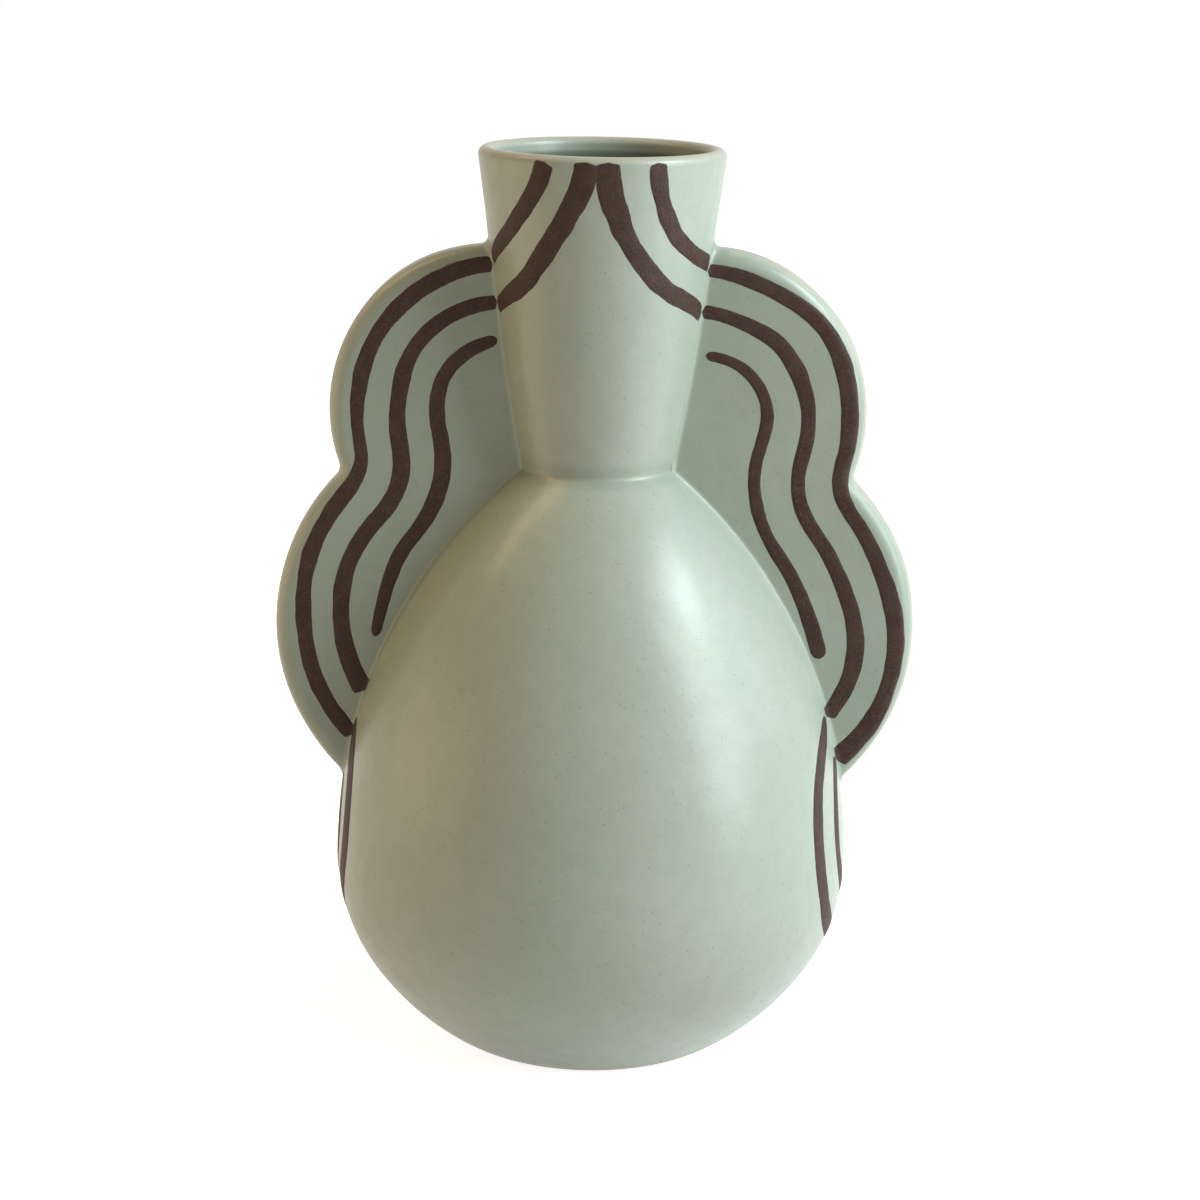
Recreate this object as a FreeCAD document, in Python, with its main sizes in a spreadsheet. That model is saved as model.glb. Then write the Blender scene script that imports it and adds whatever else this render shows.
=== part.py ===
import FreeCAD, Part
import itertools
import math
import os
import re
from collections import namedtuple

import Sketcher

# A hand-built stoneware vase with two wings, in millimetres.
#
# The body is a low egg thrown on the wheel, the neck is a flaring cone joined on at the crease,
# and a flat slab wing with a small upper lobe and a larger lower lobe stands on each side, its
# root cut to the neck and the body that it is joined to. Brown slip stripes, a little proud of
# the glaze, run down the neck, along the lobes and as rings round the foot of each wing.
#
# +Z is up, the wings lie along X, and the origin is the middle of the foot on the table.
# The part is the same to the left and right, and to the front and back, so each wing, stripe
# and ring is drawn once, at the right and in front, and mirrored.

Vector = FreeCAD.Vector

# One arc of a line made of tangent arcs: its centre, the formula of its radius, the formulas that
# pin its centre or None, and its turn, 1 for anticlockwise and -1 for clockwise.
Bend = namedtuple("Bend", "centre radius pins turn")

SIZES = {
    # the body
    "body_height": 198.9,
    "belly_radius": 87.4,
    "belly_height": 63.5,
    "foot_radius": 45.4,
    "floor_thickness": 8,
    "foot_recess_radius": 38,
    "foot_recess_depth": 2.5,
    # the neck and the wall that it shares with the body
    "wall": 5.5,
    "neck_root_radius": 26.4,
    "neck_height": 106.1,
    "mouth_radius": 40.9,
    "neck_bow": 0.8,
    # the wings, by their two lobes and the notch between them: how far the top lies below the lip,
    # and how far the upper lobe stands out beyond the mouth and the lower lobe beyond the belly
    "wing_thickness": 16.5,
    "wing_edge_radius": 5.5,
    "wing_root_reach": 15,
    "wing_top_drop": 32.1,
    "upper_lobe_radius": 55.3,
    "upper_overhang": 49,
    "lower_lobe_radius": 72.3,
    "lower_overhang": 20.7,
    "lobe_spacing": 73.7,
    "notch_radius": 5,
    # the slip stripes: how far each line lies inside the wing's edge, and how the neck's lines bend
    "slip_depth": 0.5,
    "stripe_width": 5.8,
    "outer_stripe_inset": 7.8,
    "middle_stripe_inset": 21,
    "inner_stripe_inset": 34.5,
    "rim_margin": 0.6,
    "outer_rim_spacing": 37,
    "inner_rim_spacing": 7.4,
    "outer_neck_bend": 115,
    "inner_neck_bend": 85,
    # the rings round the foot of each wing
    "inner_ring_radius": 22.5,
    "outer_ring_radius": 37.5,
}

# How steeply the body leaves the foot: its rise as a share of its run.
foot_rise_share = 0.547

# Where the lower ends of the stripes and of the wing's root lie, as shares of the lobe's radius
# below the lobe's centre.
root_end_share = 0.905
long_stripe_end_share = 0.766
short_stripe_end_share = 0.118

FRONT_PLANE = FreeCAD.Rotation(Vector(1, 0, 0), 90)
SIDE_PLANE = FreeCAD.Rotation(Vector(1, 1, 1), 120)

doc = FreeCAD.newDocument("winged_vase")
sheet = doc.addObject("Spreadsheet::Sheet", "Sizes")
rows = itertools.count(1)


# Sizes


def add_size(name, content):
    """Write one named cell: a plain number, or a formula of the cells above it."""
    cell = f"A{next(rows)}"
    sheet.set(cell, str(content))
    sheet.setAlias(cell, name)


def formula(text):
    """Point the size names in a formula at the sheet."""
    return re.sub(r"\b([a-z]\w+)\b", r"Sizes.\1", text)


def size(text):
    """The number that a formula of sizes gives."""
    return float(sheet.evalExpression(formula(text)))


def add_meeting_point(name, first, first_reach, second, second_reach, side):
    """Name the point at two given distances from two other points.

    first and second are (x, z) formulas and the reaches are distance formulas. side is "+" when
    the point lies to the left of the way from first to second, and "-" when it lies to the right.
    """
    add_size(f"{name}_dx", f"={second[0]} - ({first[0]})")
    add_size(f"{name}_dz", f"={second[1]} - ({first[1]})")
    add_size(f"{name}_gap", f"=sqrt({name}_dx ^ 2 + {name}_dz ^ 2)")
    squares = f"({first_reach}) ^ 2 - ({second_reach}) ^ 2 + {name}_gap ^ 2"
    add_size(f"{name}_along", f"=({squares}) / (2 * {name}_gap)")
    add_size(f"{name}_aside", f"={side}sqrt(({first_reach}) ^ 2 - {name}_along ^ 2)")
    along = f"{name}_along * {name}_d{{0}} / {name}_gap"
    aside = f"{name}_aside * {name}_d{{0}} / {name}_gap"
    add_size(f"{name}_x", f"={first[0]} + {along.format('x')} - {aside.format('z')}")
    add_size(f"{name}_z", f"={first[1]} + {along.format('z')} + {aside.format('x')}")


def add_body_arcs():
    """Name the three tangent arcs of the body's outline.

    The shoulder arc leaves the belly upright and ends at the crease. Below the belly two arcs
    share the way to the foot: their tangents at the belly, at the foot and where they touch are
    all of one length, so they meet whatever the belly and the foot measure.
    """
    add_size("shoulder_run", "=belly_radius - neck_root_radius")
    add_size("shoulder_rise", "=body_height - belly_height")
    add_size("shoulder_arc_radius", "=(shoulder_run ^ 2 + shoulder_rise ^ 2) / (2 * shoulder_run)")
    add_size("shoulder_arc_x", "=belly_radius - shoulder_arc_radius")
    add_size("foot_run", f"=1 / sqrt(1 + {foot_rise_share} ^ 2)")
    add_size("foot_rise", f"={foot_rise_share} * foot_run")
    add_size("belly_run", "=belly_radius - foot_radius")
    add_size("tangent_pull", "=belly_run * foot_run + belly_height * (1 + foot_rise)")
    reach = "2 * (1 - foot_rise) * (belly_run ^ 2 + belly_height ^ 2)"
    add_size("tangent_length",
             f"=(sqrt(tangent_pull ^ 2 + {reach}) - tangent_pull) / (2 * (1 - foot_rise))")
    add_size("middle_run", "=belly_run - tangent_length * foot_run")
    add_size("middle_rise", "=belly_height - tangent_length * (1 + foot_rise)")
    add_size("belly_arc_radius",
             "=tangent_length * (2 * tangent_length + middle_rise) / middle_run")
    add_size("belly_arc_x", "=belly_radius - belly_arc_radius")
    add_size("low_turn", "=foot_run * middle_rise - foot_rise * middle_run")
    add_size("low_reach", "=foot_run * middle_run + foot_rise * middle_rise")
    add_size("lower_arc_radius",
             "=tangent_length * (2 * tangent_length + low_reach) / low_turn")
    add_size("lower_arc_x", "=foot_radius - lower_arc_radius * foot_rise")
    add_size("lower_arc_z", "=lower_arc_radius * foot_run")
    add_size("low_touch_x", "=belly_radius - middle_run / 2")
    add_size("low_touch_z", "=tangent_length * foot_rise + middle_rise / 2")


def fill_sheet():
    """Write the driving sizes, then the centres and heights that follow from them."""
    for name, number in SIZES.items():
        add_size(name, number)
    add_body_arcs()
    add_size("throat_radius",
             "=shoulder_arc_x + sqrt((shoulder_arc_radius - wall) ^ 2 - shoulder_rise ^ 2)")
    add_size("lip_height", "=body_height + neck_height - wall / 2")
    add_size("neck_chord",
             "=sqrt((mouth_radius - neck_root_radius) ^ 2 + (lip_height - body_height) ^ 2)")
    add_size("neck_arc_radius", "=(neck_chord ^ 2 / 4 + neck_bow ^ 2) / (2 * neck_bow)")
    add_meeting_point("neck_arc", ("neck_root_radius", "body_height"), "neck_arc_radius",
                      ("mouth_radius", "lip_height"), "neck_arc_radius", "+")
    add_size("upper_lobe_from_axis", "=mouth_radius + upper_overhang - upper_lobe_radius")
    add_size("upper_lobe_height",
             "=body_height + neck_height - wing_top_drop - upper_lobe_radius")
    add_size("lower_lobe_from_axis", "=belly_radius + lower_overhang - lower_lobe_radius")
    add_size("lower_lobe_height", "=upper_lobe_height - lobe_spacing")
    add_size("ring_height", f"={lobe_foot_height('0', root_end_share)}")
    add_meeting_point("notch", ("upper_lobe_from_axis", "upper_lobe_height"),
                      "upper_lobe_radius + notch_radius",
                      ("lower_lobe_from_axis", "lower_lobe_height"),
                      "lower_lobe_radius + notch_radius", "+")
    add_size("stripe_rim_height", "=lip_height - rim_margin - stripe_width / 2")
    add_size("stripes_meet_x", "=(mouth_radius + neck_root_radius) / 2")
    for line, wing_line in (("outer", "outer"), ("inner", "middle")):
        reach = f"(upper_lobe_radius - {wing_line}_stripe_inset) ^ 2"
        meets_wing = f"sqrt({reach} - (upper_lobe_from_axis - stripes_meet_x) ^ 2)"
        add_meeting_point(f"{line}_bend", (f"{line}_rim_spacing / 2", "stripe_rim_height"),
                          f"{line}_neck_bend",
                          ("stripes_meet_x", f"upper_lobe_height + {meets_wing}"),
                          f"{line}_neck_bend", "+")
    doc.recompute()


# Drawing in a sketch


def new_sketch(name, rotation=FRONT_PLANE, plane_y="0"):
    """A free sketch, upright and facing the front unless another rotation is given."""
    sketch = doc.addObject("Sketcher::SketchObject", name)
    sketch.Placement = FreeCAD.Placement(Vector(), rotation)
    sketch.setExpression("Placement.Base.y", formula(plane_y))
    return sketch


def body_sketch(body, name):
    """A sketch attached to the front plane of its own body."""
    planes = body.Origin.OriginFeatures
    sketch = body.newObject("Sketcher::SketchObject", name)
    sketch.AttachmentSupport = [next(p for p in planes if p.Role == "XZ_Plane")]
    sketch.MapMode = "FlatFace"
    return sketch


def add_line(sketch, first, last):
    """A straight line; returns its geometry number and its two vertices in the order drawn."""
    segment = Part.LineSegment(Vector(*first), Vector(*last))
    return sketch.addGeometry(segment), 1, 2


def add_arc(sketch, centre, first, last, turn=1):
    """An arc from first to last, anticlockwise when turn is 1 and clockwise when it is -1."""
    low, high = (first, last) if turn > 0 else (last, first)
    start = math.atan2(low[1] - centre[1], low[0] - centre[0])
    sweep = (math.atan2(high[1] - centre[1], high[0] - centre[0]) - start) % (2 * math.pi)
    circle = Part.Circle(Vector(*centre), Vector(0, 0, 1), math.dist(centre, first))
    number = sketch.addGeometry(Part.ArcOfCircle(circle, start, start + sweep))
    return (number, 1, 2) if turn > 0 else (number, 2, 1)


def bind(sketch, kind, *where, to):
    """Add a constraint whose value is a formula of the sheet."""
    number = sketch.addConstraint(Sketcher.Constraint(kind, *where, size(to)))
    sketch.setExpression(f"Constraints[{number}]", formula(to))


def pin(sketch, piece, vertex, x=None, z=None):
    """Tie a vertex of a piece to the origin; vertex 3 is the centre of an arc."""
    if x is not None:
        bind(sketch, "DistanceX", -1, 1, piece[0], vertex, to=x)
    if z is not None:
        bind(sketch, "DistanceY", -1, 1, piece[0], vertex, to=z)


def join(sketch, kind, pieces, closed=True):
    """Join the end of each piece to the start of the next, as Coincident or Tangent."""
    followers = pieces[1:] + pieces[:1] if closed else pieces[1:]
    for piece, follower in zip(pieces, followers):
        constraint = Sketcher.Constraint(kind, piece[0], piece[2], follower[0], follower[1])
        sketch.addConstraint(constraint)


def level(sketch, piece):
    """Keep a line level."""
    sketch.addConstraint(Sketcher.Constraint("Horizontal", piece[0]))


def on_axis(sketch, piece):
    """Keep a line on the vase's axis."""
    for vertex in (1, 2):
        sketch.addConstraint(Sketcher.Constraint("PointOnObject", piece[0], vertex, -2))


def away(start, towards, distance):
    """The point at a distance from start, on the line through it from the point towards."""
    length = math.dist(start, towards)
    return tuple(s + (s - t) / length * distance for s, t in zip(start, towards))


def centre_of(name):
    """The (x, z) place of a centre that the sheet names."""
    return size(f"{name}_x"), size(f"{name}_z")


# Forms of revolution


def draw_body_section(sketch, grow, floor):
    """Half of the body's section: floor, lower arc, belly arc, shoulder arc, top and axis.

    grow is how far its arcs lie outside the outer surface, and floor the height of its base.
    """
    belly = (size("belly_arc_x"), size("belly_height"))
    shoulder = (size("shoulder_arc_x"), size("belly_height"))
    lower = centre_of("lower_arc")
    top, base = size("body_height"), size(floor)
    belly_reach = size(f"belly_arc_radius + {grow}")
    shoulder_reach = size(f"shoulder_arc_radius + {grow}")
    lower_reach = size(f"lower_arc_radius + {grow}")
    crease = (shoulder[0] + math.sqrt(shoulder_reach ** 2 - (top - shoulder[1]) ** 2), top)
    edge = (lower[0] + math.sqrt(lower_reach ** 2 - (base - lower[1]) ** 2), base)
    high = (belly[0] + belly_reach, belly[1])
    low = away(belly, centre_of("low_touch"), -belly_reach)
    floor_line = add_line(sketch, (0, base), edge)
    lower_arc = add_arc(sketch, lower, edge, low)
    belly_arc = add_arc(sketch, belly, low, high)
    shoulder_arc = add_arc(sketch, shoulder, high, crease)
    top_line = add_line(sketch, crease, (0, top))
    axis_line = add_line(sketch, (0, top), (0, base))
    join(sketch, "Tangent", [lower_arc, belly_arc, shoulder_arc], closed=False)
    join(sketch, "Coincident", [shoulder_arc, top_line, axis_line, floor_line, lower_arc],
         closed=False)
    pin(sketch, belly_arc, 3, "belly_arc_x", "belly_height")
    bind(sketch, "Radius", belly_arc[0], to=f"belly_arc_radius + {grow}")
    pin(sketch, shoulder_arc, 3, "shoulder_arc_x", "belly_height")
    pin(sketch, lower_arc, 3, "lower_arc_x", "lower_arc_z")
    level(sketch, floor_line)
    level(sketch, top_line)
    on_axis(sketch, axis_line)
    pin(sketch, floor_line, 1, z=floor)
    pin(sketch, top_line, 2, z="body_height")


def draw_neck_section(sketch, grow):
    """Half of the solid neck's section below the lip, with its side moved out by grow."""
    centre = centre_of("neck_arc")
    base, top = size("body_height"), size("lip_height")
    reach = size(f"neck_arc_radius + {grow}")
    root = (centre[0] + math.sqrt(reach ** 2 - (base - centre[1]) ** 2), base)
    rim = (centre[0] + math.sqrt(reach ** 2 - (top - centre[1]) ** 2), top)
    base_line = add_line(sketch, (0, base), root)
    side = add_arc(sketch, centre, root, rim)
    top_line = add_line(sketch, rim, (0, top))
    axis_line = add_line(sketch, (0, top), (0, base))
    join(sketch, "Coincident", [base_line, side, top_line, axis_line])
    pin(sketch, side, 3, "neck_arc_x", "neck_arc_z")
    bind(sketch, "Radius", side[0], to=f"neck_arc_radius + {grow}")
    level(sketch, base_line)
    level(sketch, top_line)
    on_axis(sketch, axis_line)
    pin(sketch, base_line, 1, z="body_height")
    pin(sketch, top_line, 2, z="lip_height")


def revolve(name, sketch):
    """A full turn of a sketch about the vase's axis."""
    form = doc.addObject("Part::Revolution", name)
    form.Source = sketch
    form.Axis = Vector(0, 0, 1)
    form.Angle = 360
    form.Solid = True
    return form


def body_form(name, grow, floor="0"):
    """The solid body, grown all round by a formula of sizes."""
    sketch = new_sketch(f"{name}_section")
    draw_body_section(sketch, grow, floor)
    return revolve(name, sketch)


def neck_form(name, grow):
    """The solid neck, grown all round by a formula of sizes."""
    sketch = new_sketch(f"{name}_section")
    draw_neck_section(sketch, grow)
    return revolve(name, sketch)


# Booleans


def combine(kind, name, base, tool):
    """Part::Cut, Part::Common or Part::Fuse of two objects."""
    result = doc.addObject(kind, name)
    result.Base = base
    result.Tool = tool
    return result


# The thrown body and neck


def make_body(solid_body):
    """The hollow body, open at the crease, with a shallow recess under its foot."""
    cavity = body_form("body_cavity", "-wall", "floor_thickness")
    recess = doc.addObject("Part::Cylinder", "foot_recess")
    recess.setExpression("Radius", formula("foot_recess_radius"))
    recess.setExpression("Height", formula("foot_recess_depth"))
    hollow = combine("Part::Cut", "hollow_body", solid_body, cavity)
    return combine("Part::Cut", "body_of_vase", hollow, recess)


def make_neck():
    """The flaring neck: a wall that thins from the crease to a lip rounded over its full width."""
    body = doc.addObject("PartDesign::Body", "neck_of_vase")
    sketch = body_sketch(body, "neck_wall_section")
    base, lip = size("body_height"), size("lip_height")
    throat, root = (size("throat_radius"), base), (size("neck_root_radius"), base)
    outer, inner = (size("mouth_radius"), lip), (size("mouth_radius - wall"), lip)
    root_line = add_line(sketch, throat, root)
    side = add_arc(sketch, centre_of("neck_arc"), root, outer)
    rounding = add_arc(sketch, (size("mouth_radius - wall / 2"), lip), outer, inner)
    inside = add_line(sketch, inner, throat)
    join(sketch, "Coincident", [root_line, side, rounding, inside])
    level(sketch, root_line)
    pin(sketch, root_line, 1, "throat_radius", "body_height")
    pin(sketch, root_line, 2, "neck_root_radius")
    bind(sketch, "Radius", side[0], to="neck_arc_radius")
    pin(sketch, side, 2, "mouth_radius", "lip_height")
    pin(sketch, rounding, 3, "mouth_radius - wall / 2", "lip_height")
    pin(sketch, rounding, 2, z="lip_height")
    turn = body.newObject("PartDesign::Revolution", "neck_wall")
    turn.Profile = sketch
    turn.ReferenceAxis = (sketch, ["V_Axis"])
    turn.Angle = 360
    body.Tip = turn
    return body


# Lines along the lobes


def lobe_foot_height(inset, share):
    """The formula of the height where a line inset from the wing's edge ends on the lower lobe."""
    return f"lower_lobe_height - {share} * (lower_lobe_radius - {inset})"


def lobe_foot(inset, share):
    """The point where a line inset from the wing's edge ends on the lower lobe."""
    reach = size(f"lower_lobe_radius - {inset}") * math.sqrt(1 - share ** 2)
    return size("lower_lobe_from_axis") + reach, size(lobe_foot_height(inset, share))


def lobe_top(inset, x):
    """The point at x where a line inset from the wing's edge ends on the upper lobe."""
    beside = size(f"upper_lobe_from_axis - {x}")
    rise = math.sqrt(size(f"upper_lobe_radius - {inset}") ** 2 - beside ** 2)
    return size(x), size("upper_lobe_height") + rise


def lobe_bends(inset):
    """The arcs of a line inset from the wing's edge, from the foot up.

    They are the lower lobe, the notch, which bends the other way, and the upper lobe.
    """
    lower = ("lower_lobe_from_axis", "lower_lobe_height")
    upper = ("upper_lobe_from_axis", "upper_lobe_height")
    return [
        Bend(tuple(map(size, lower)), f"lower_lobe_radius - {inset}", lower, 1),
        Bend(centre_of("notch"), f"notch_radius + {inset}", None, -1),
        Bend(tuple(map(size, upper)), f"upper_lobe_radius - {inset}", upper, 1),
    ]


def bend_points(bends, first, last):
    """The ends of the arcs in a run: neighbours touch on the line between their centres."""
    touches = [away(near.centre, far.centre, -size(near.radius))
               for near, far in zip(bends, bends[1:])]
    return [first] + touches + [last]


def draw_bend(sketch, bend, first, last, turn, radius):
    """Draw one arc of a run, with its centre pinned and its radius bound."""
    piece = add_arc(sketch, bend.centre, first, last, turn)
    if bend.pins:
        pin(sketch, piece, 3, *bend.pins)
    bind(sketch, "Radius", piece[0], to=radius)
    return piece


# The wings


def make_wing_blank():
    """The right wing before its root is cut: a slab of the two lobes with rounded edges."""
    body = doc.addObject("PartDesign::Body", "wing_blank")
    sketch = body_sketch(body, "wing_outline")
    foot = lobe_foot("0", root_end_share)
    top = lobe_top("0", "wing_root_reach")
    corner = (top[0], foot[1])
    bends = lobe_bends("0")
    points = bend_points(bends, foot, top)
    arcs = [draw_bend(sketch, bend, start, end, bend.turn, bend.radius)
            for bend, start, end in zip(bends, points, points[1:])]
    root_line = add_line(sketch, top, corner)
    base_line = add_line(sketch, corner, foot)
    join(sketch, "Tangent", arcs, closed=False)
    join(sketch, "Coincident", [arcs[-1], root_line, base_line, arcs[0]], closed=False)
    sketch.addConstraint(Sketcher.Constraint("Vertical", root_line[0]))
    level(sketch, base_line)
    pin(sketch, root_line, 1, x="wing_root_reach")
    pin(sketch, base_line, 2, z=lobe_foot_height("0", root_end_share))
    slab = body.newObject("PartDesign::Pad", "wing_slab")
    slab.Profile = sketch
    slab.SideType = "Symmetric"
    slab.setExpression("Length", formula("wing_thickness"))
    doc.recompute()
    rounded = body.newObject("PartDesign::Fillet", "wing_edges")
    rounded.Base = (slab, arc_edges(slab.Shape))
    rounded.setExpression("Radius", formula("wing_edge_radius"))
    body.Tip = rounded
    return body


def arc_edges(slab):
    """The names of the curved edges round the two faces of the slab."""
    numbered = enumerate(slab.Edges, start=1)
    return [f"Edge{number}" for number, edge in numbered if isinstance(edge.Curve, Part.Circle)]


# Slip stripes


def draw_stripe(sketch, bends, first, last, start_pin, end_pin):
    """Draw the closed outline of a stripe along a run of arcs, with round ends.

    start_pin and end_pin hold the formulas, by x or z, that pin the centres of its round ends.
    """
    points = bend_points(bends, first, last)
    run = list(zip(bends, points, points[1:]))
    half = size("stripe_width / 2")
    sides = {}
    for side in (1, -1):
        chain = []
        for bend, start, end in run:
            inward = bend.turn * side
            ends = [away(point, bend.centre, -inward * half) for point in (start, end)]
            sign = "-" if inward > 0 else "+"
            radius = f"{bend.radius} {sign} stripe_width / 2"
            chain.append(draw_bend(sketch, bend, *ends[::side], inward, radius))
        sides[side] = chain[::side]
    end_cap = add_cap(sketch, last, sides[1][-1], sides[-1][0])
    start_cap = add_cap(sketch, first, sides[-1][-1], sides[1][0])
    join(sketch, "Tangent", sides[1] + [end_cap] + sides[-1] + [start_cap])
    pin(sketch, start_cap, 3, **start_pin)
    pin(sketch, end_cap, 3, **end_pin)


def add_cap(sketch, centre, before, after):
    """The round end of a stripe, clockwise from the end of one side to the start of the other."""
    ends = [sketch.getPoint(*vertex) for vertex in (before[::2], after[:2])]
    return add_arc(sketch, centre, *[(end.x, end.y) for end in ends], -1)


def extrude(name, sketch, direction, length):
    """A solid of a closed sketch, pushed out by a formula of sizes."""
    solid = doc.addObject("Part::Extrusion", name)
    solid.Base = sketch
    solid.DirMode = "Custom"
    solid.Dir = direction
    solid.Solid = True
    solid.setExpression("LengthFwd", formula(length))
    return solid


def stripe_prism(name, length, *path):
    """A stripe drawn on the plane of the wing's front face and pushed out forwards."""
    sketch = new_sketch(f"{name}_outline", plane_y="-wing_thickness / 2")
    draw_stripe(sketch, *path)
    return extrude(f"{name}_prism", sketch, Vector(0, -1, 0), length)


def make_wing_stripe(line, foot_share, end_x, skin):
    """A stripe on the right wing's front face, parallel to its edge and ended by the skin."""
    inset = f"{line}_stripe_inset"
    prism = stripe_prism(f"{line}_wing_line", "slip_depth", lobe_bends(inset),
                         lobe_foot(inset, foot_share), lobe_top(inset, end_x),
                         {"z": lobe_foot_height(inset, foot_share)}, {"x": end_x})
    return combine("Part::Cut", f"{line}_wing_line_slip", prism, skin)


def make_neck_stripe(line, wing_line, neck_slip):
    """A stripe down the neck's front, from under the lip to the stripe it meets on the wing."""
    bend = Bend(centre_of(f"{line}_bend"), f"{line}_neck_bend", (f"{line}_bend_x", f"{line}_bend_z"), 1)
    rim_end = (size(f"{line}_rim_spacing / 2"), size("stripe_rim_height"))
    wing_end = lobe_top(f"{wing_line}_stripe_inset", "stripes_meet_x")
    prism = stripe_prism(f"{line}_neck_line", "mouth_radius + slip_depth", [bend],
                         rim_end, wing_end,
                         {"z": "stripe_rim_height"}, {"x": "stripes_meet_x"})
    return combine("Part::Common", f"{line}_neck_line_slip", prism, neck_slip)


def make_foot_ring(ring, body_slip, wing_blank):
    """A ring of slip on the belly, round the foot of the right wing and open where it stands."""
    sketch = new_sketch(f"{ring}_ring_outline", SIDE_PLANE)
    for sign in ("+", "-"):
        radius = f"{ring}_ring_radius {sign} stripe_width / 2"
        circle = Part.Circle(Vector(0, size("ring_height")), Vector(0, 0, 1), size(radius))
        edge = (sketch.addGeometry(circle),)
        bind(sketch, "Radius", edge[0], to=radius)
        pin(sketch, edge, 3, z="ring_height")
        sketch.addConstraint(Sketcher.Constraint("PointOnObject", edge[0], 3, -2))
    prism = extrude(f"{ring}_ring_prism", sketch, Vector(1, 0, 0), "belly_radius + slip_depth")
    band = combine("Part::Common", f"{ring}_ring_band", prism, body_slip)
    return combine("Part::Cut", f"{ring}_ring_slip", band, wing_blank)


# The whole vase


def mirrored(name, source, normal):
    """The same piece on the other side of the vase."""
    copy = doc.addObject("Part::Mirroring", name)
    copy.Source = source
    copy.Normal = normal
    return copy


def to_left(name, right):
    """The left copy of a right piece."""
    return mirrored(name, right, Vector(1, 0, 0))


def to_all_corners(nodes, pattern, piece):
    """Name a front right piece and its three mirror images; the pattern takes side and face."""
    nodes[pattern.format(side="right", face="front")] = piece
    behind = mirrored(f"{piece.Name}_behind", piece, Vector(0, 1, 0))
    nodes[pattern.format(side="right", face="back")] = behind
    for face, source in (("front", piece), ("back", behind)):
        nodes[pattern.format(side="left", face=face)] = to_left(f"{source.Name}_left", source)


def build():
    """Make every piece of the vase; returns them by node name."""
    solid_body = body_form("solid_body", "0")
    solid_neck = neck_form("solid_neck", "0")
    coated_body = body_form("coated_body", "slip_depth")
    coated_neck = neck_form("coated_neck", "slip_depth")
    vase = combine("Part::Fuse", "solid_vase", solid_body, solid_neck)
    skin = combine("Part::Fuse", "coated_vase", coated_body, coated_neck)
    body_slip = combine("Part::Cut", "body_slip", coated_body, solid_body)
    neck_slip = combine("Part::Cut", "neck_slip", coated_neck, solid_neck)
    wing_blank = make_wing_blank()
    right_wing = combine("Part::Cut", "wing_of_vase", wing_blank, vase)
    nodes = {
        "body": make_body(solid_body),
        "neck": make_neck(),
        "right_wing": right_wing,
        "left_wing": to_left("wing_of_vase_left", right_wing),
    }
    wing_lines = (("outer", long_stripe_end_share, "neck_root_radius"),
                  ("middle", long_stripe_end_share, "neck_root_radius"),
                  ("inner", short_stripe_end_share, "stripes_meet_x"))
    for line, foot_share, end_x in wing_lines:
        stripe = make_wing_stripe(line, foot_share, end_x, skin)
        to_all_corners(nodes, "{side}_wing_{face}_" + line + "_stripe", stripe)
    for line, wing_line in (("outer", "outer"), ("inner", "middle")):
        stripe = make_neck_stripe(line, wing_line, neck_slip)
        to_all_corners(nodes, "neck_{face}_{side}_" + line + "_stripe", stripe)
    for ring in ("inner", "outer"):
        right_ring = make_foot_ring(ring, body_slip, wing_blank)
        nodes[f"right_foot_{ring}_ring"] = right_ring
        nodes[f"left_foot_{ring}_ring"] = to_left(f"{ring}_ring_slip_left", right_ring)
    for name, piece in nodes.items():
        piece.Label = name
    doc.recompute()
    return nodes


def check(nodes):
    """Stop if an object failed, or if a piece isn't one valid solid."""
    for item in doc.Objects:
        if {"Invalid", "Error"} & set(item.State):
            raise RuntimeError(f"{item.Name} failed: {item.State}")
    for name, piece in nodes.items():
        shape = piece.Shape
        if shape.isNull() or not shape.isValid() or len(shape.Solids) != 1:
            raise RuntimeError(f"{name} isn't one valid solid")


def export(nodes):
    """Write each piece to a file named after its node."""
    os.makedirs("parts", exist_ok=True)
    for name, piece in nodes.items():
        piece.Shape.exportStep(f"parts/{name}.step")


fill_sheet()
pieces = build()
check(pieces)
export(pieces)
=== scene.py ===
"""A hand-built stoneware vase with two scalloped wings, glazed sage green and striped with slip.

The vase is thrown in two pieces, a low egg-shaped body and a flaring neck, and a flat slab wing
is joined on at each side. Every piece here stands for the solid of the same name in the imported
frame and follows the same sizes, in millimetres; meshes are written in metres.
"""
import logging
import math
from collections.abc import Callable
from dataclasses import dataclass
from enum import Enum
from functools import partial

import bpy
import numpy as np
from mathutils import Matrix, Vector


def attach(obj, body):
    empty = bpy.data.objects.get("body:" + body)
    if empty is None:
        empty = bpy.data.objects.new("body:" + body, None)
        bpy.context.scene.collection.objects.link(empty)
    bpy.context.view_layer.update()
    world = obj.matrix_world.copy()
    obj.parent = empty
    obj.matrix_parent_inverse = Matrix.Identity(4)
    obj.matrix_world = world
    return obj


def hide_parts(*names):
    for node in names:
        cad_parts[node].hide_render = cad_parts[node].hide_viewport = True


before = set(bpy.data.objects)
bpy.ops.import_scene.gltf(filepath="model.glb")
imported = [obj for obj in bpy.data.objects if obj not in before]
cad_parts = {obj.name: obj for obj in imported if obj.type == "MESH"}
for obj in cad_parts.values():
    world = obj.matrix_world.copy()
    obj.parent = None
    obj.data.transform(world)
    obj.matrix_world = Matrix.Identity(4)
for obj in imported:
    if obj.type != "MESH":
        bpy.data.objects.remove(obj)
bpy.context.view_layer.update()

LOG = logging.getLogger("winged_vase")
MM = 0.001
FULL_TURN = 2 * math.pi

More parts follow.
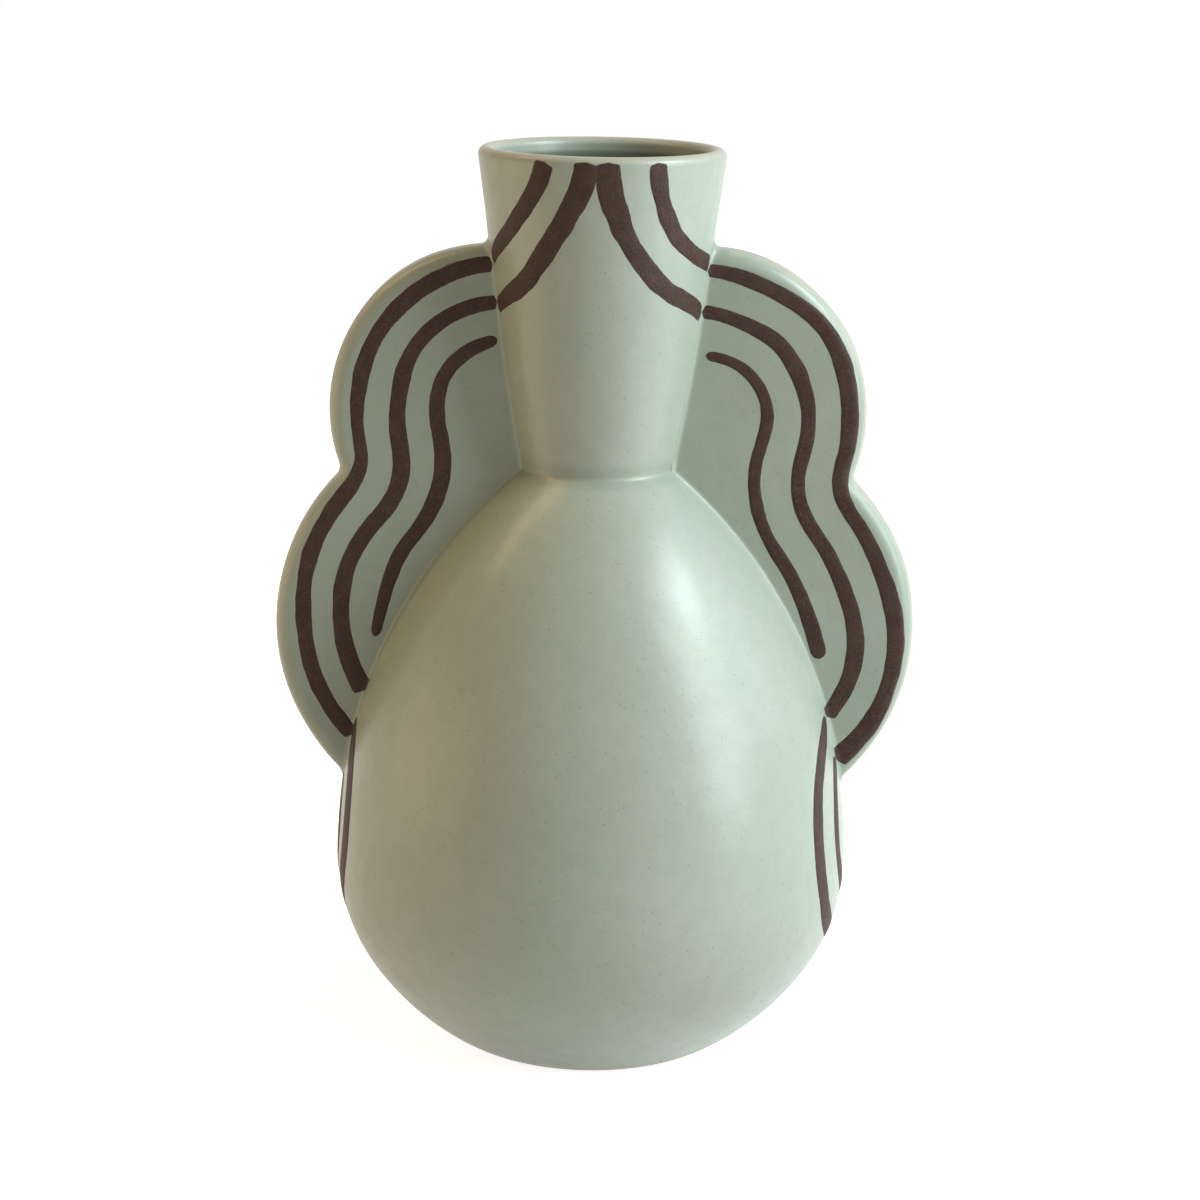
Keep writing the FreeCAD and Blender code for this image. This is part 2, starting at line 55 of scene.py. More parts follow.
# how deep the glaze pools, and the painted shade on the wing faces and down the inside,
# as one attribute says it: 0 on the open side of the vessel
GLAZED_POOL = 1.0  # in a corner
# painted shade: this level darkens the inside of the neck and body
INSIDE_SHADE_LEVEL = 2.5  # down the inside

Pair = tuple[float, float]
Triple = tuple[float, float, float]
Colour = tuple[float, float, float, float]
Tree = bpy.types.NodeTree
Socket = bpy.types.NodeSocket
Material = bpy.types.Material
GlazedRings = tuple[np.ndarray, np.ndarray, np.ndarray]  # rings, thin and pool
SurfacePlace = Callable[[np.ndarray, np.ndarray], np.ndarray]  # flat places and lifts to places


# Shared shapes of numbers


def wave_noise(points: np.ndarray, length: float, seed: int, waves: int = 9) -> np.ndarray:
    """Soft seeded noise: plane waves in many directions, added up to about -1 to 1.

    Args:
        points: places, as (..., 3), in the same unit as length.
        length: the typical wavelength.
        seed: picks the waves.
        waves: how many are added up.

    Returns:
        One number for each place.
    """
    draw = np.random.default_rng(seed)
    directions = draw.normal(size=(waves, 3))
    directions /= np.linalg.norm(directions, axis=1, keepdims=True)
    steps = FULL_TURN / length * draw.uniform(0.6, 1.5, size=waves)
    phases = draw.uniform(0, FULL_TURN, size=waves)
    return np.sin(points @ (directions * steps[:, None]).T + phases).sum(-1) / math.sqrt(waves)


def ease(low: float, high: float, value: np.ndarray) -> np.ndarray:
    """A smooth step: three times the share squared less twice the share cubed.

    Args:
        low: the value where the step starts.
        high: the value where it ends, which may be below low.
        value: the values.

    Returns:
        The step at each value: 0 up to low, 1 from high on.
    """
    share = np.clip((value - low) / (high - low), 0, 1)
    return share * share * (3 - 2 * share)


def spread(stops: np.ndarray, fine: float, coarse: float, length: float) -> np.ndarray:
    """Stations along a line, close together near some stops and wider apart elsewhere.

    The number of stations grows as the integral of one over the spacing, and the stations are
    where that number is whole.

    Args:
        stops: places along the line where the spacing is fine.
        fine: the spacing at a stop.
        coarse: the widest spacing.
        length: the line's length.

    Returns:
        Rising places from 0 to length.
    """
    samples, growth = 4000, 0.07
    dense = np.linspace(0, length, samples)
    nearest = np.abs(dense[:, None] - stops[None, :]).min(1)
    spacing = np.clip(fine + growth * nearest, fine, coarse)
    count = np.concatenate([[0], np.cumsum(np.diff(dense) / spacing[1:])])
    whole = np.linspace(0, count[-1], int(round(count[-1])) + 1)
    return np.interp(whole, count, dense)


def circles_meet(first: np.ndarray, first_reach: float, second: np.ndarray,
                 second_reach: float, side: int) -> np.ndarray:
    """The point at given distances from two centres.

    Along the way between them it lies at (first_reach^2 - second_reach^2 + gap^2) / 2 gap, and
    beside it at what Pythagoras leaves.

    Args:
        first: the first centre.
        first_reach: the distance from it.
        second: the second centre.
        second_reach: the distance from it.
        side: 1 for left of the way from first to second, -1 for right.

    Returns:
        The point, as (2,).
    """
    way = second - first
    gap = float(np.hypot(*way))
    along = (first_reach ** 2 - second_reach ** 2 + gap ** 2) / (2 * gap)
    aside = side * math.sqrt(first_reach ** 2 - along ** 2)
    return first + way / gap * along + np.array([-way[1], way[0]]) / gap * aside


# Meshes


def tube_faces(count: int, around: int, wrap: bool) -> tuple[np.ndarray, np.ndarray]:
    """Quads between neighbouring rings, and fans of triangles to the two end points.

    Args:
        count: the number of rings.
        around: the number of points round a ring.
        wrap: join the last ring to the first instead of closing the ends.

    Returns:
        Quads as (n, 4) and triangles as (m, 3), of point numbers; the two end points come last.
    """
    row = np.arange(count if wrap else count - 1)[:, None]
    col = np.arange(around)[None, :]
    after, beside = (row + 1) % count, (col + 1) % around
    corners = [row * around + col, row * around + beside,
               after * around + beside, after * around + col]
    quads = np.stack([np.broadcast_to(c, (row.size, around)) for c in corners], -1).reshape(-1, 4)
    if wrap:
        return quads, np.zeros((0, 3), int)
    ring = np.arange(around)
    beside = np.roll(ring, -1)
    last, points = (count - 1) * around, count * around
    first_fan = np.stack([beside, ring, np.full(around, points)], -1)
    last_fan = np.stack([last + ring, last + beside, np.full(around, points + 1)], -1)
    return quads, np.concatenate([first_fan, last_fan])


def with_ends(numbers: np.ndarray, wrap: bool) -> np.ndarray:
    """Numbers or vectors on rings as a flat list, with each end ring's mean put last.

    Args:
        numbers: as (rings, points round a ring) or (rings, points round a ring, size).
        wrap: the rings are joined end to end, so there are no end points.

    Returns:
        One row for each point of the tube.
    """
    flat = numbers.reshape(-1, *numbers.shape[2:])
    return flat if wrap else np.concatenate([flat, [numbers[0].mean(0), numbers[-1].mean(0)]])


def add_tube(name: str, rings: np.ndarray, wrap: bool = False, sharp: float = 50.0,
             values: dict[str, np.ndarray] | None = None,
             uv: np.ndarray | None = None) -> bpy.types.Object:
    """A closed mesh of rings joined by quads, its ends closed by fans to a middle point.

    Args:
        name: the piece's name.
        rings: places in millimetres, as (rings, points round a ring, 3).
        wrap: join the last ring to the first instead of closing the ends.
        sharp: the angle in degrees above which an edge stays sharp.
        values: named numbers for each point, as (rings, points round a ring).
        uv: across and along, as (rings, points round a ring, 2).

    Returns:
        The new object, at the origin.
    """
    points = with_ends(rings, wrap)
    quads, fans = tube_faces(*rings.shape[:2], wrap)
    whole = np.concatenate([quads[:, [0, 1, 2]], quads[:, [0, 2, 3]], fans])
    volume = np.einsum("ij,ij->i", points[whole[:, 0]],
                       np.cross(points[whole[:, 1]], points[whole[:, 2]])).sum()
    if volume < 0:
        quads, fans = quads[:, ::-1], fans[:, ::-1]
    loops = np.concatenate([quads.ravel(), fans.ravel()])
    starts = np.concatenate([np.arange(len(quads)) * 4, quads.size + np.arange(len(fans)) * 3])

    mesh = bpy.data.meshes.new(name)
    mesh.vertices.add(len(points))
    mesh.vertices.foreach_set("co", (points * MM).ravel())
    mesh.loops.add(len(loops))
    mesh.loops.foreach_set("vertex_index", loops)
    mesh.polygons.add(len(starts))
    mesh.polygons.foreach_set("loop_start", starts)
    mesh.update(calc_edges=True)
    mesh.validate()
    mesh.shade_smooth()
    mesh.set_sharp_from_angle(angle=math.radians(sharp))
    for key, numbers in (values or {}).items():
        layer = mesh.attributes.new(key, "FLOAT", "POINT")
        layer.data.foreach_set("value", with_ends(numbers, wrap))
    if uv is not None:
        brushed = with_ends(uv, wrap)[loops]
        mesh.uv_layers.new(name="brush").data.foreach_set("uv", brushed.ravel())
    piece = bpy.data.objects.new(name, mesh)
    bpy.context.scene.collection.objects.link(piece)
    return piece


class Slot(Enum):
    """Material slots."""

    GLAZE = "glaze"
    SLIP = "slip"


def place(piece: bpy.types.Object, material: Material, slot: Slot, node: str) -> None:
    """Dress a piece and let it stand for its node of the frame.

    Args:
        piece: the piece, made in its place.
        material: its finish.
        slot: the slot that the finish belongs to; not used.
        node: the name of the node that the piece replaces.
    """
    piece.data.materials.append(material)
    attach(piece, "root")
    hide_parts(node)
    LOG.info("%s: %d vertices, for %s", piece.name, len(piece.data.vertices), node)


class Side(Enum):
    """A side of the vase, with the sign of x there."""

    RIGHT = 1
    LEFT = -1

    @property
    def word(self) -> str:
        """The side's name in a piece's name."""
        return self.name.lower()


class Face(Enum):
    """The front or the back, with the sign of y there."""

    FRONT = -1
    BACK = 1

    @property
    def word(self) -> str:
        """The face's name in a piece's name."""
        return self.name.lower()


# The thrown body and neck


@dataclass
class Arc:
    """An arc of an outline: its centre as (distance from the axis, height) and its radius."""

    centre: np.ndarray
    radius: float

    def distance(self, places: np.ndarray) -> np.ndarray:
        """How far places, as (..., 2), lie outside the arc's circle."""
        return np.hypot(*np.moveaxis(places - self.centre, -1, 0)) - self.radius

    def angle(self, place: np.ndarray) -> float:
        """The direction of a place from the centre, in radians."""
        return math.atan2(place[1] - self.centre[1], place[0] - self.centre[0])

    def run(self, start: float, end: float, spacing: float, grow: float = 0.0) -> np.ndarray:
        """Evenly spaced places on the arc: the centre plus (radius + grow) times each direction.

        Args:
            start: the first angle, in radians.
            end: the last angle.
            spacing: about how far apart the places are.
            grow: how far outside the arc they lie.

        Returns:
            Places as (n, 2).
        """
        count = max(3, int(abs(end - start) * self.radius / spacing))
        angles = np.linspace(start, end, count)
        reach = self.radius + grow
        return self.centre + reach * np.stack([np.cos(angles), np.sin(angles)], -1)


@dataclass
class Vessel:
    """The body and the neck, turned on one axis, with a soft fillet at the crease between them.

    The outline is a chain of tangent arcs: lower arc, belly arc, shoulder arc, crease fillet and
    neck arc, each worked out from the sizes below as the solids' outline is. lip_slack keeps the
    lip's top inside the solid's, the spacings are those of the outline's points, and the dips
    say how uneven the potter's hand leaves the surface; inner_dip is the share of it inside.
    """

    body_height: float = 198.9
    belly_radius: float = 87.4
    belly_height: float = 63.5
    foot_radius: float = 45.4
    foot_rise_share: float = 0.547
    floor_thickness: float = 8.0
    recess_radius: float = 38.0
    recess_depth: float = 2.5
    wall: float = 5.5
    neck_root_radius: float = 26.4
    neck_height: float = 106.1
    mouth_radius: float = 40.9
    neck_bow: float = 0.8
    crease_radius: float = 2.0
    foot_edge_radius: float = 1.6
    lip_slack: float = 0.06
    columns: int = 300
    outline_spacing: float = 2.0
    crease_spacing: float = 0.35
    neck_spacing: float = 1.6
    inner_spacing: float = 3.5
    mean_dip: float = 0.22
    slow_dip: float = 0.13
    quick_dip: float = 0.04
    inner_dip: float = 0.5

    def __post_init__(self) -> None:
        """Work out the arcs and the outline."""
        run = self.belly_radius - self.neck_root_radius
        rise = self.body_height - self.belly_height
        reach = (run ** 2 + rise ** 2) / (2 * run)
        self.shoulder = Arc(np.array([self.belly_radius - reach, self.belly_height]), reach)
        self.set_lower_arcs()
        self.lip_height = self.body_height + self.neck_height - self.wall / 2
        root = np.array([self.neck_root_radius, self.body_height])
        mouth = np.array([self.mouth_radius, self.lip_height])
        half_chord = float(np.hypot(*(mouth - root))) / 2
        bend = (half_chord ** 2 + self.neck_bow ** 2) / (2 * self.neck_bow)
        self.neck = Arc(circles_meet(root, bend, mouth, bend, 1), bend)
        middle = circles_meet(self.shoulder.centre, reach + self.crease_radius,
                              self.neck.centre, bend + self.crease_radius, -1)
        self.crease = Arc(middle, self.crease_radius)
        self.set_outline()

    def set_lower_arcs(self) -> None:
        """Work out the belly arc and the lower arc.

        They meet smoothly. The length along the tangent from the belly, from the foot and from
        their joint to where the tangents cross is the same, and is found from a quadratic.
        """
        foot_run = 1 / math.hypot(1, self.foot_rise_share)
        foot_rise = self.foot_rise_share * foot_run
        run, rise = self.belly_radius - self.foot_radius, self.belly_height
        pull = run * foot_run + rise * (1 + foot_rise)
        flat = 2 * (1 - foot_rise)
        tangent = (math.sqrt(pull ** 2 + flat * (run ** 2 + rise ** 2)) - pull) / flat
        middle = np.array([run - tangent * foot_run, rise - tangent * (1 + foot_rise)])
        belly = tangent * (2 * tangent + middle[1]) / middle[0]
        low = tangent * (2 * tangent + foot_run * middle[0] + foot_rise * middle[1])
        low /= foot_run * middle[1] - foot_rise * middle[0]
        self.belly = Arc(np.array([self.belly_radius - belly, self.belly_height]), belly)
        self.lower = Arc(np.array([self.foot_radius - low * foot_rise, low * foot_run]), low)
        self.low_joint = np.array([self.belly_radius - middle[0] / 2,
                                   tangent * foot_rise + middle[1] / 2])

    def set_outline(self) -> None:
        """Draw the outer outline, from the foot to under the lip, through its arcs."""
        crease, shoulder, neck, step = self.crease, self.shoulder, self.neck, self.outline_spacing
        low = crease.angle(shoulder.centre) % FULL_TURN
        high = crease.angle(neck.centre) % FULL_TURN
        middle = (low + high) / 2
        self.crease_turn = (low, high)
        self.lower_run = (self.lower.angle(np.array([self.foot_radius, 0.0])),
                          self.lower.angle(self.low_joint))
        mouth = np.array([self.mouth_radius, self.lip_height])
        self.body_outline = np.concatenate([
            self.lower.run(*self.lower_run, step)[:-1],
            self.belly.run(self.belly.angle(self.low_joint), 0.0, step)[:-1],
            shoulder.run(0.0, shoulder.angle(crease.centre), step)[:-1],
            crease.run(low, middle, self.crease_spacing),
        ])
        self.neck_outline = np.concatenate([
            crease.run(middle, high, self.crease_spacing)[:-1],
            neck.run(neck.angle(crease.centre), neck.angle(mouth), self.neck_spacing),
        ])
        self.outline = np.concatenate([self.body_outline[:-1], self.neck_outline])
        steps = np.hypot(*np.diff(self.outline, axis=0).T)
        self.outline_length = np.concatenate([[0], np.cumsum(steps)])

    def outline_place(self, length: np.ndarray) -> np.ndarray:
        """Places on the outline, by the length along it from the foot."""
        return np.stack([np.interp(length, self.outline_length, self.outline[:, axis])
                         for axis in (0, 1)], -1)

    def smooth_normal(self, length: np.ndarray) -> np.ndarray:
        """The mean normal over 9 mm either way, which turns slowly past the crease.

        Args:
            length: lengths along the outline from the foot.

        Returns:
            Unit directions as (n, 2).
        """
        window = np.linspace(-9, 9, 13)
        mean = self.outline_normal(length[:, None] + window).mean(1)
        return mean / np.linalg.norm(mean, axis=-1, keepdims=True)

    def outline_normal(self, length: np.ndarray) -> np.ndarray:
        """Directions square to the outline and away from the clay.

        Args:
            length: lengths along the outline from the foot.

        Returns:
            Unit directions as (..., 2): the way along the outline, turned a quarter right.
        """
        step = 0.4
        way = self.outline_place(length + step) - self.outline_place(length - step)
        way /= np.linalg.norm(way, axis=-1, keepdims=True)
        return np.stack([way[..., 1], -way[..., 0]], -1)

    def length_at_height(self, height: np.ndarray) -> np.ndarray:
        """The length along the outline at a height."""
        return np.interp(height, self.outline[:, 1], self.outline_length)

    def hollow(self, azimuth: np.ndarray, height: np.ndarray) -> np.ndarray:
        """How far the thrown surface dips below its true form: always a little, never proud.

        It is slow noise round the wheel, with quicker noise and faint throwing rings up the
        wall. It fades out at the foot, and to three tenths at the lip.

        Args:
            azimuth: angles from the front towards the right, in radians.
            height: heights.

        Returns:
            The dip at each place.
        """
        azimuth, height = np.broadcast_arrays(azimuth, height)
        drum_radius, squeeze = 60, 0.8
        places = np.stack([np.cos(azimuth) * drum_radius, np.sin(azimuth) * drum_radius,
                           height * squeeze], -1)
        slow = wave_noise(places, length=95.0, seed=11)
        up = np.stack([height, height * 0, height * 0], -1)
        rings = wave_noise(up, length=15.0, seed=5)
        quick = wave_noise(places, length=24.0, seed=23)
        calm_foot, full_height, calm_lip, lost_at_lip = 4, 18, 9, 0.7
        at_lip = ease(self.lip_height - calm_lip, self.lip_height, height)
        fade = ease(calm_foot, full_height, height) * (1 - lost_at_lip * at_lip)
        noise = self.slow_dip * slow + self.quick_dip * rings + self.quick_dip * quick
        return np.clip(self.mean_dip + noise, 0, None) * fade

    def distance(self, places: np.ndarray) -> np.ndarray:
        """How far places lie outside the clay.

        It is the lesser of the distances to the body's and the neck's arcs, and in the corner
        between them the distance to the crease fillet, plus the hollow of the surface there.

        Args:
            places: places as (..., 3).

        Returns:
            Distances as (...), below 0 inside.
        """
        flat = np.stack([np.hypot(places[..., 0], places[..., 1]), places[..., 2]], -1)
        body = np.where(flat[..., 1] > self.belly_height, self.shoulder.distance(flat),
                        self.belly.distance(flat))
        apart = np.minimum(body, self.neck.distance(flat))
        away = flat - self.crease.centre
        turn = np.arctan2(away[..., 1], away[..., 0]) % FULL_TURN
        corner = (turn > min(self.crease_turn)) & (turn < max(self.crease_turn))
        apart = np.where(corner, -self.crease.distance(flat), apart)
        azimuth = np.arctan2(places[..., 0], -places[..., 1])
        return apart + self.hollow(azimuth, places[..., 2])

    def surface(self, azimuth: np.ndarray, height: np.ndarray,
                lift: np.ndarray | float = 0.0) -> np.ndarray:
        """Places on the glazed surface, lifted off it.

        In the outline's plane a place is the outline's own, moved along its normal by lift less
        the hollow; it is then turned to its azimuth.

        Args:
            azimuth: angles from the front towards the right, in radians.
            height: heights.
            lift: how far outside the surface.

        Returns:
            Places as (..., 3).
        """
        length = self.length_at_height(height)
        raised = lift - self.hollow(azimuth, height)
        flat = self.outline_place(length) + self.outline_normal(length) * raised[..., None]
        return np.stack([flat[..., 0] * np.sin(azimuth), -flat[..., 0] * np.cos(azimuth),
                         flat[..., 1]], -1)

    def scale(self, height: np.ndarray) -> tuple[np.ndarray, np.ndarray]:
        """Millimetres for each radian round the surface, and for each millimetre of height."""
        length = self.length_at_height(height)
        return self.outline_place(length)[..., 0], 1 / self.outline_normal(length)[..., 0]

    def turn(self, section: np.ndarray, dip: np.ndarray) -> np.ndarray:
        """Rings of a turned form: its section turned round the axis.

        Each radius is lessened by dip times the hollow at that azimuth and height.

        Args:
            section: (radius, height) places along its section.
            dip: the share of the surface's hollow that each place takes.

        Returns:
            Places as (section, columns, 3).
        """
        azimuth = np.linspace(0, FULL_TURN, self.columns, endpoint=False)[None, :]
        radius, height = section[:, :1], section[:, 1:]
        height = np.broadcast_to(height, (len(section), self.columns))
        radius = radius - dip[:, None] * self.hollow(azimuth, height)
        return np.stack([radius * np.sin(azimuth), -radius * np.cos(azimuth), height], -1)

    def inner_wall(self) -> np.ndarray:
        """The body's inner section: its outer arcs moved in by the wall, then the level floor.

        Returns:
            (radius, height) places from the crease down to the middle of the floor.
        """
        floor, crease = self.floor_thickness, self.body_height
        reach = self.shoulder.radius - self.wall
        top = math.asin((crease - self.shoulder.centre[1]) / reach)
        low = self.lower.radius - self.wall
        base = -math.asin((self.lower.centre[1] - floor) / low)
        side, below = self.inner_spacing, 3.0
        wall = np.concatenate([
            self.shoulder.run(top, 0.0, side, -self.wall)[:-1],
            self.belly.run(0.0, self.belly.angle(self.low_joint), side, -self.wall)[:-1],
            self.lower.run(self.lower_run[1], base, below, -self.wall),
        ])
        shares = np.array([0.97, 0.9, 0.75, 0.5, 0.2, 0.05])
        level = np.stack([shares * wall[-1, 0], np.full(len(shares), floor)], -1)
        return np.concatenate([wall, level])

    def foot_section(self) -> np.ndarray:
        """The underside's section: level recess, rounded step, bare ring and the foot's edge.

        The edge is a quadratic curve from the bare ring to where the lower arc has risen past
        the edge's rounding: (1 - t)^2 corner + 2 t (1 - t) bend + t^2 start.

        Returns:
            (radius, height) places from the middle outwards and up.
        """
        recess, depth, edge = self.recess_radius, self.recess_depth, self.foot_edge_radius
        under = np.array([[2, depth], [15, depth], [30, depth], [recess - 1.2, depth],
                          [recess - 0.2, depth - 0.6], [recess + 0.1, 0.7],
                          [recess + 0.8, 0.08], [recess + 1.6, 0.0]], float)
        start = self.lower.run(*self.lower_run, 1.0)
        start = start[start[:, 1] > edge * 1.1][:1]
        corner = np.array([[self.foot_radius - edge * 0.9, 0.0]])
        bend = np.array([[self.foot_radius + 0.2, 0.05]])
        turn = np.linspace(0, 1, 7)[:, None]
        foot = (1 - turn) ** 2 * corner + 2 * turn * (1 - turn) * bend + turn ** 2 * start
        return np.concatenate([under, foot])

    def body_rings(self) -> GlazedRings:
        """The body: its underside, its side up to the crease, and back down its inner wall.

        Returns:
            Its rings, how thin the glaze lies at each, and how deep it pools, with painted shade
            down the inside.
        """
        under, inner = self.foot_section(), self.inner_wall()
        clear_of_foot, bare_share = 0.8, 0.7
        side = self.body_outline[self.body_outline[:, 1] > under[-1, 1] + clear_of_foot]
        section = np.concatenate([under, side, inner])
        dip = np.concatenate([np.zeros(len(under)), np.ones(len(side)),
                              np.full(len(inner), self.inner_dip)])
        outer = np.arange(len(section)) < len(under) + len(side)
        # the outer side pools at the crease; the inside takes the level of painted shade
        pool = np.where(outer, self.crease_pool(section), INSIDE_SHADE_LEVEL)
        thin = bare_share * (1 - ease(1.0, 6.0, section[:, 1])) * outer
        return self.turn(section, dip), thin, pool

    def crease_pool(self, section: np.ndarray) -> np.ndarray:
        """How deep the glaze pools along a section: most at the crease, none 3 mm from it."""
        from_crease = np.hypot(*(section - self.crease.centre).T) - self.crease.radius
        return GLAZED_POOL - ease(0.0, 3.0, from_crease)

    def neck_rings(self) -> GlazedRings:
        """The neck: up its side, over the lip's half ellipse, and straight down inside.

        Returns:
            Its rings, how thin the glaze lies at each, and how deep it pools, with painted shade
            down the inside.
        """
        half, lip_height = self.wall / 2, self.lip_height
        bend = np.linspace(0, np.pi, 19)[1:-1]
        top = np.array([self.mouth_radius - half, lip_height])
        lip = top + np.stack([half * np.cos(bend), (half - self.lip_slack) * np.sin(bend)], -1)
        down = np.linspace(0, 1, 44)[:, None]
        inside = (1 - down) * np.array([self.mouth_radius - self.wall, lip_height])
        inside = inside + down * self.inner_wall()[0]
        section = np.concatenate([self.neck_outline, lip, inside])
        outer = np.arange(len(section)) < len(self.neck_outline)
        dip = np.where(outer | (section[:, 1] > lip_height), 1.0, self.inner_dip)
        thin_from, shade_from, shade_by = lip_height - 1.5, lip_height + 1.5, lip_height - 4
        thin = ease(thin_from, lip_height + half, section[:, 1])
        # painted shade down the inside of the neck, from just under the lip
        deep = INSIDE_SHADE_LEVEL * ease(shade_from, shade_by, section[:, 1])
        pool = np.where(outer, self.crease_pool(section), deep)
        return self.turn(section, dip), thin, pool

    def add(self, glaze: Material) -> None:
        """Make the body and the neck.

        Args:
            glaze: their finish.
        """
        for name, wrap, (rings, thin, pool) in (("body", False, self.body_rings()),
                                                ("neck", True, self.neck_rings())):
            wide = np.ones((1, self.columns))
            values = {"thin": thin[:, None] * wide, "pool": pool[:, None] * wide}
            piece = add_tube(f"{name}_glazed", rings, wrap, values=values)
            place(piece, glaze, Slot.GLAZE, name)


# The wings


@dataclass
class Wing:
    """A flat slab wing of two lobes with a notch between them, joined to the neck and the body.

    Its outline is the lower lobe's arc, the notch's arc and the upper lobe's arc. Its surface is
    its two faces, its rounded edge and, where it meets the vessel, a fillet of smoothed clay.
    top_drop is how far its top lies below the lip, and the overhangs are how far the lobes reach
    past mouth and belly. The joint radii are the fillet's on the rim and on the faces, the bumps
    and the rim's dip and sway say how uneven the slab is, and the end angles are in degrees.
    """

    vessel: Vessel
    side: Side
    thickness: float = 16.5
    edge_radius: float = 5.5
    top_drop: float = 32.1
    upper_radius: float = 55.3
    upper_overhang: float = 49.0
    lower_radius: float = 72.3
    lower_overhang: float = 20.7
    lobe_spacing: float = 73.7
    notch_radius: float = 5.0
    joint_radius: float = 3.0
    face_joint_radius: float = 1.6
    # painted shade: the wing's flat faces are drawn darker, with the deep glaze colour
    face_pool: float = 0.9
    joint_pool_reach: float = 3.2
    depth_in_wall: float = 2.5
    root_offset: float = 9.5
    notch_root_heights: Pair = (166.0, 216.0)
    end_angles: Pair = (-66.0, 97.0)
    slow_bump: float = 0.22
    quick_bump: float = 0.06
    rim_dip: float = 0.22
    rim_sway: float = 0.2

    def __post_init__(self) -> None:
        """Work out the lobes and the notch."""
        vessel = self.vessel
        top = vessel.body_height + vessel.neck_height - self.top_drop
        upper_x = vessel.mouth_radius + self.upper_overhang - self.upper_radius
        lower_x = vessel.belly_radius + self.lower_overhang - self.lower_radius
        upper_z = top - self.upper_radius
        self.upper = Arc(np.array([upper_x, upper_z]), self.upper_radius)
        self.lower = Arc(np.array([lower_x, upper_z - self.lobe_spacing]), self.lower_radius)
        middle = circles_meet(self.upper.centre, self.upper_radius + self.notch_radius,
                              self.lower.centre, self.lower_radius + self.notch_radius, 1)
        self.notch = Arc(middle, self.notch_radius)
        self.seed = 40 + self.side.value

    @property
    def mirror(self) -> np.ndarray:
        """What turns a place on the right into one on this wing's side."""
        return np.array([self.side.value, 1, 1])

    def turns(self) -> list[tuple[Arc, float, float, int]]:
        """The outline from the foot up, as three arcs that touch.

        Returns:
            For the lower lobe, the notch and the upper lobe: the arc, its first and last angle
            in radians, and 1 where it bulges outwards or -1 where it bulges inwards.
        """
        lower, notch, upper = self.lower, self.notch, self.upper
        foot, top = np.radians(self.end_angles)
        return [(lower, foot, lower.angle(notch.centre), 1),
                (notch, notch.angle(lower.centre) % FULL_TURN,
                 notch.angle(upper.centre) % FULL_TURN, -1),
                (upper, upper.angle(notch.centre), top, 1)]

    def outline(self) -> tuple[np.ndarray, np.ndarray, np.ndarray]:
        """The wing's outline from the foot to the top.

        The arcs are sampled finely, and the part that lies deeper in the vessel's wall than
        depth_in_wall is cut away.

        Returns:
            Places as (n, 2), directions straight inwards as (n, 2), and the length as (n,).
        """
        samples = 900
        places, inward = [], []
        for arc, start, end, bulge in self.turns():
            angles = np.linspace(start, end, samples)
            ray = np.stack([np.cos(angles), np.sin(angles)], -1)
            places.append(arc.centre + arc.radius * ray)
            inward.append(-bulge * ray)
        places, inward = np.concatenate(places), np.concatenate(inward)
        solid = np.stack([places[:, 0], 0 * places[:, 0], places[:, 1]], -1)
        keep = self.vessel.distance(solid) > -self.depth_in_wall
        places, inward = places[keep], inward[keep]
        steps = np.hypot(*np.diff(places, axis=0).T)
        return places, inward, np.concatenate([[0], np.cumsum(steps)])

    def edge_distance(self, flat: np.ndarray) -> np.ndarray:
        """How far places lie inside the wing's outline.

        It is the greater depth in the two lobes, and beside the notch the distance to its arc.

        Args:
            flat: places as (..., 2).

        Returns:
            Depths as (...), below 0 outside.
        """
        inside = np.maximum(-self.upper.distance(flat), -self.lower.distance(flat))
        away = flat - self.notch.centre
        turn = np.arctan2(away[..., 1], away[..., 0]) % FULL_TURN
        _, (_, start, end, _), _ = self.turns()
        between = (turn > min(start, end)) & (turn < max(start, end))
        return np.where(between, self.notch.distance(flat), inside)

    def half_thickness(self, inside: np.ndarray) -> np.ndarray:
        """Half the slab's thickness inside its outline: a quarter circle, then level."""
        rise = np.clip(self.edge_radius - inside, 0, self.edge_radius)
        return self.thickness / 2 - self.edge_radius + np.sqrt(self.edge_radius ** 2 - rise ** 2)

    def unevenness(self, places: np.ndarray) -> np.ndarray:
        """The slab's own unevenness: slow noise and a little quicker noise.

        Args:
            places: places on the slab, as (..., 3).

        Returns:
            How far it stands off its true form at each.
        """
        slow = wave_noise(places, length=70.0, seed=self.seed)
        quick = wave_noise(places, length=17.0, seed=71)
        return self.slow_bump * slow + self.quick_bump * quick

    def flare(self, places: np.ndarray, normals: np.ndarray) -> np.ndarray:
        """How far to move places along normals to reach the fillet against the vessel.

        The fillet is round in the two distances: with a from the wing and b from the vessel,
        (r - a) squared plus (r - b) squared is r squared. It is found by halving steps of a. The
        radius r goes from joint_radius on the rim to face_joint_radius on the faces.

        Args:
            places: places on the slab, as (..., 3).
            normals: the directions in which they may move.

        Returns:
            Distances as (...), 0 where the fillet ends.
        """
        halvings, overlap, smallest = 16, 0.05, 0.001
        broad = self.joint_radius - self.face_joint_radius
        reach = self.joint_radius - broad * np.abs(normals[..., 1])
        low, high = np.zeros(places.shape[:-1]), reach.copy()
        for _ in range(halvings):
            middle = (low + high) / 2
            apart = self.vessel.distance(places + normals * middle[..., None]) + overlap
            rest = np.clip(reach - apart, 0, reach)
            short = middle < reach - np.sqrt(reach ** 2 - rest ** 2)
            low, high = np.where(short, middle, low), np.where(short, high, middle)
        return np.where(low + high < 2 * smallest, 0.0, (low + high) / 2)

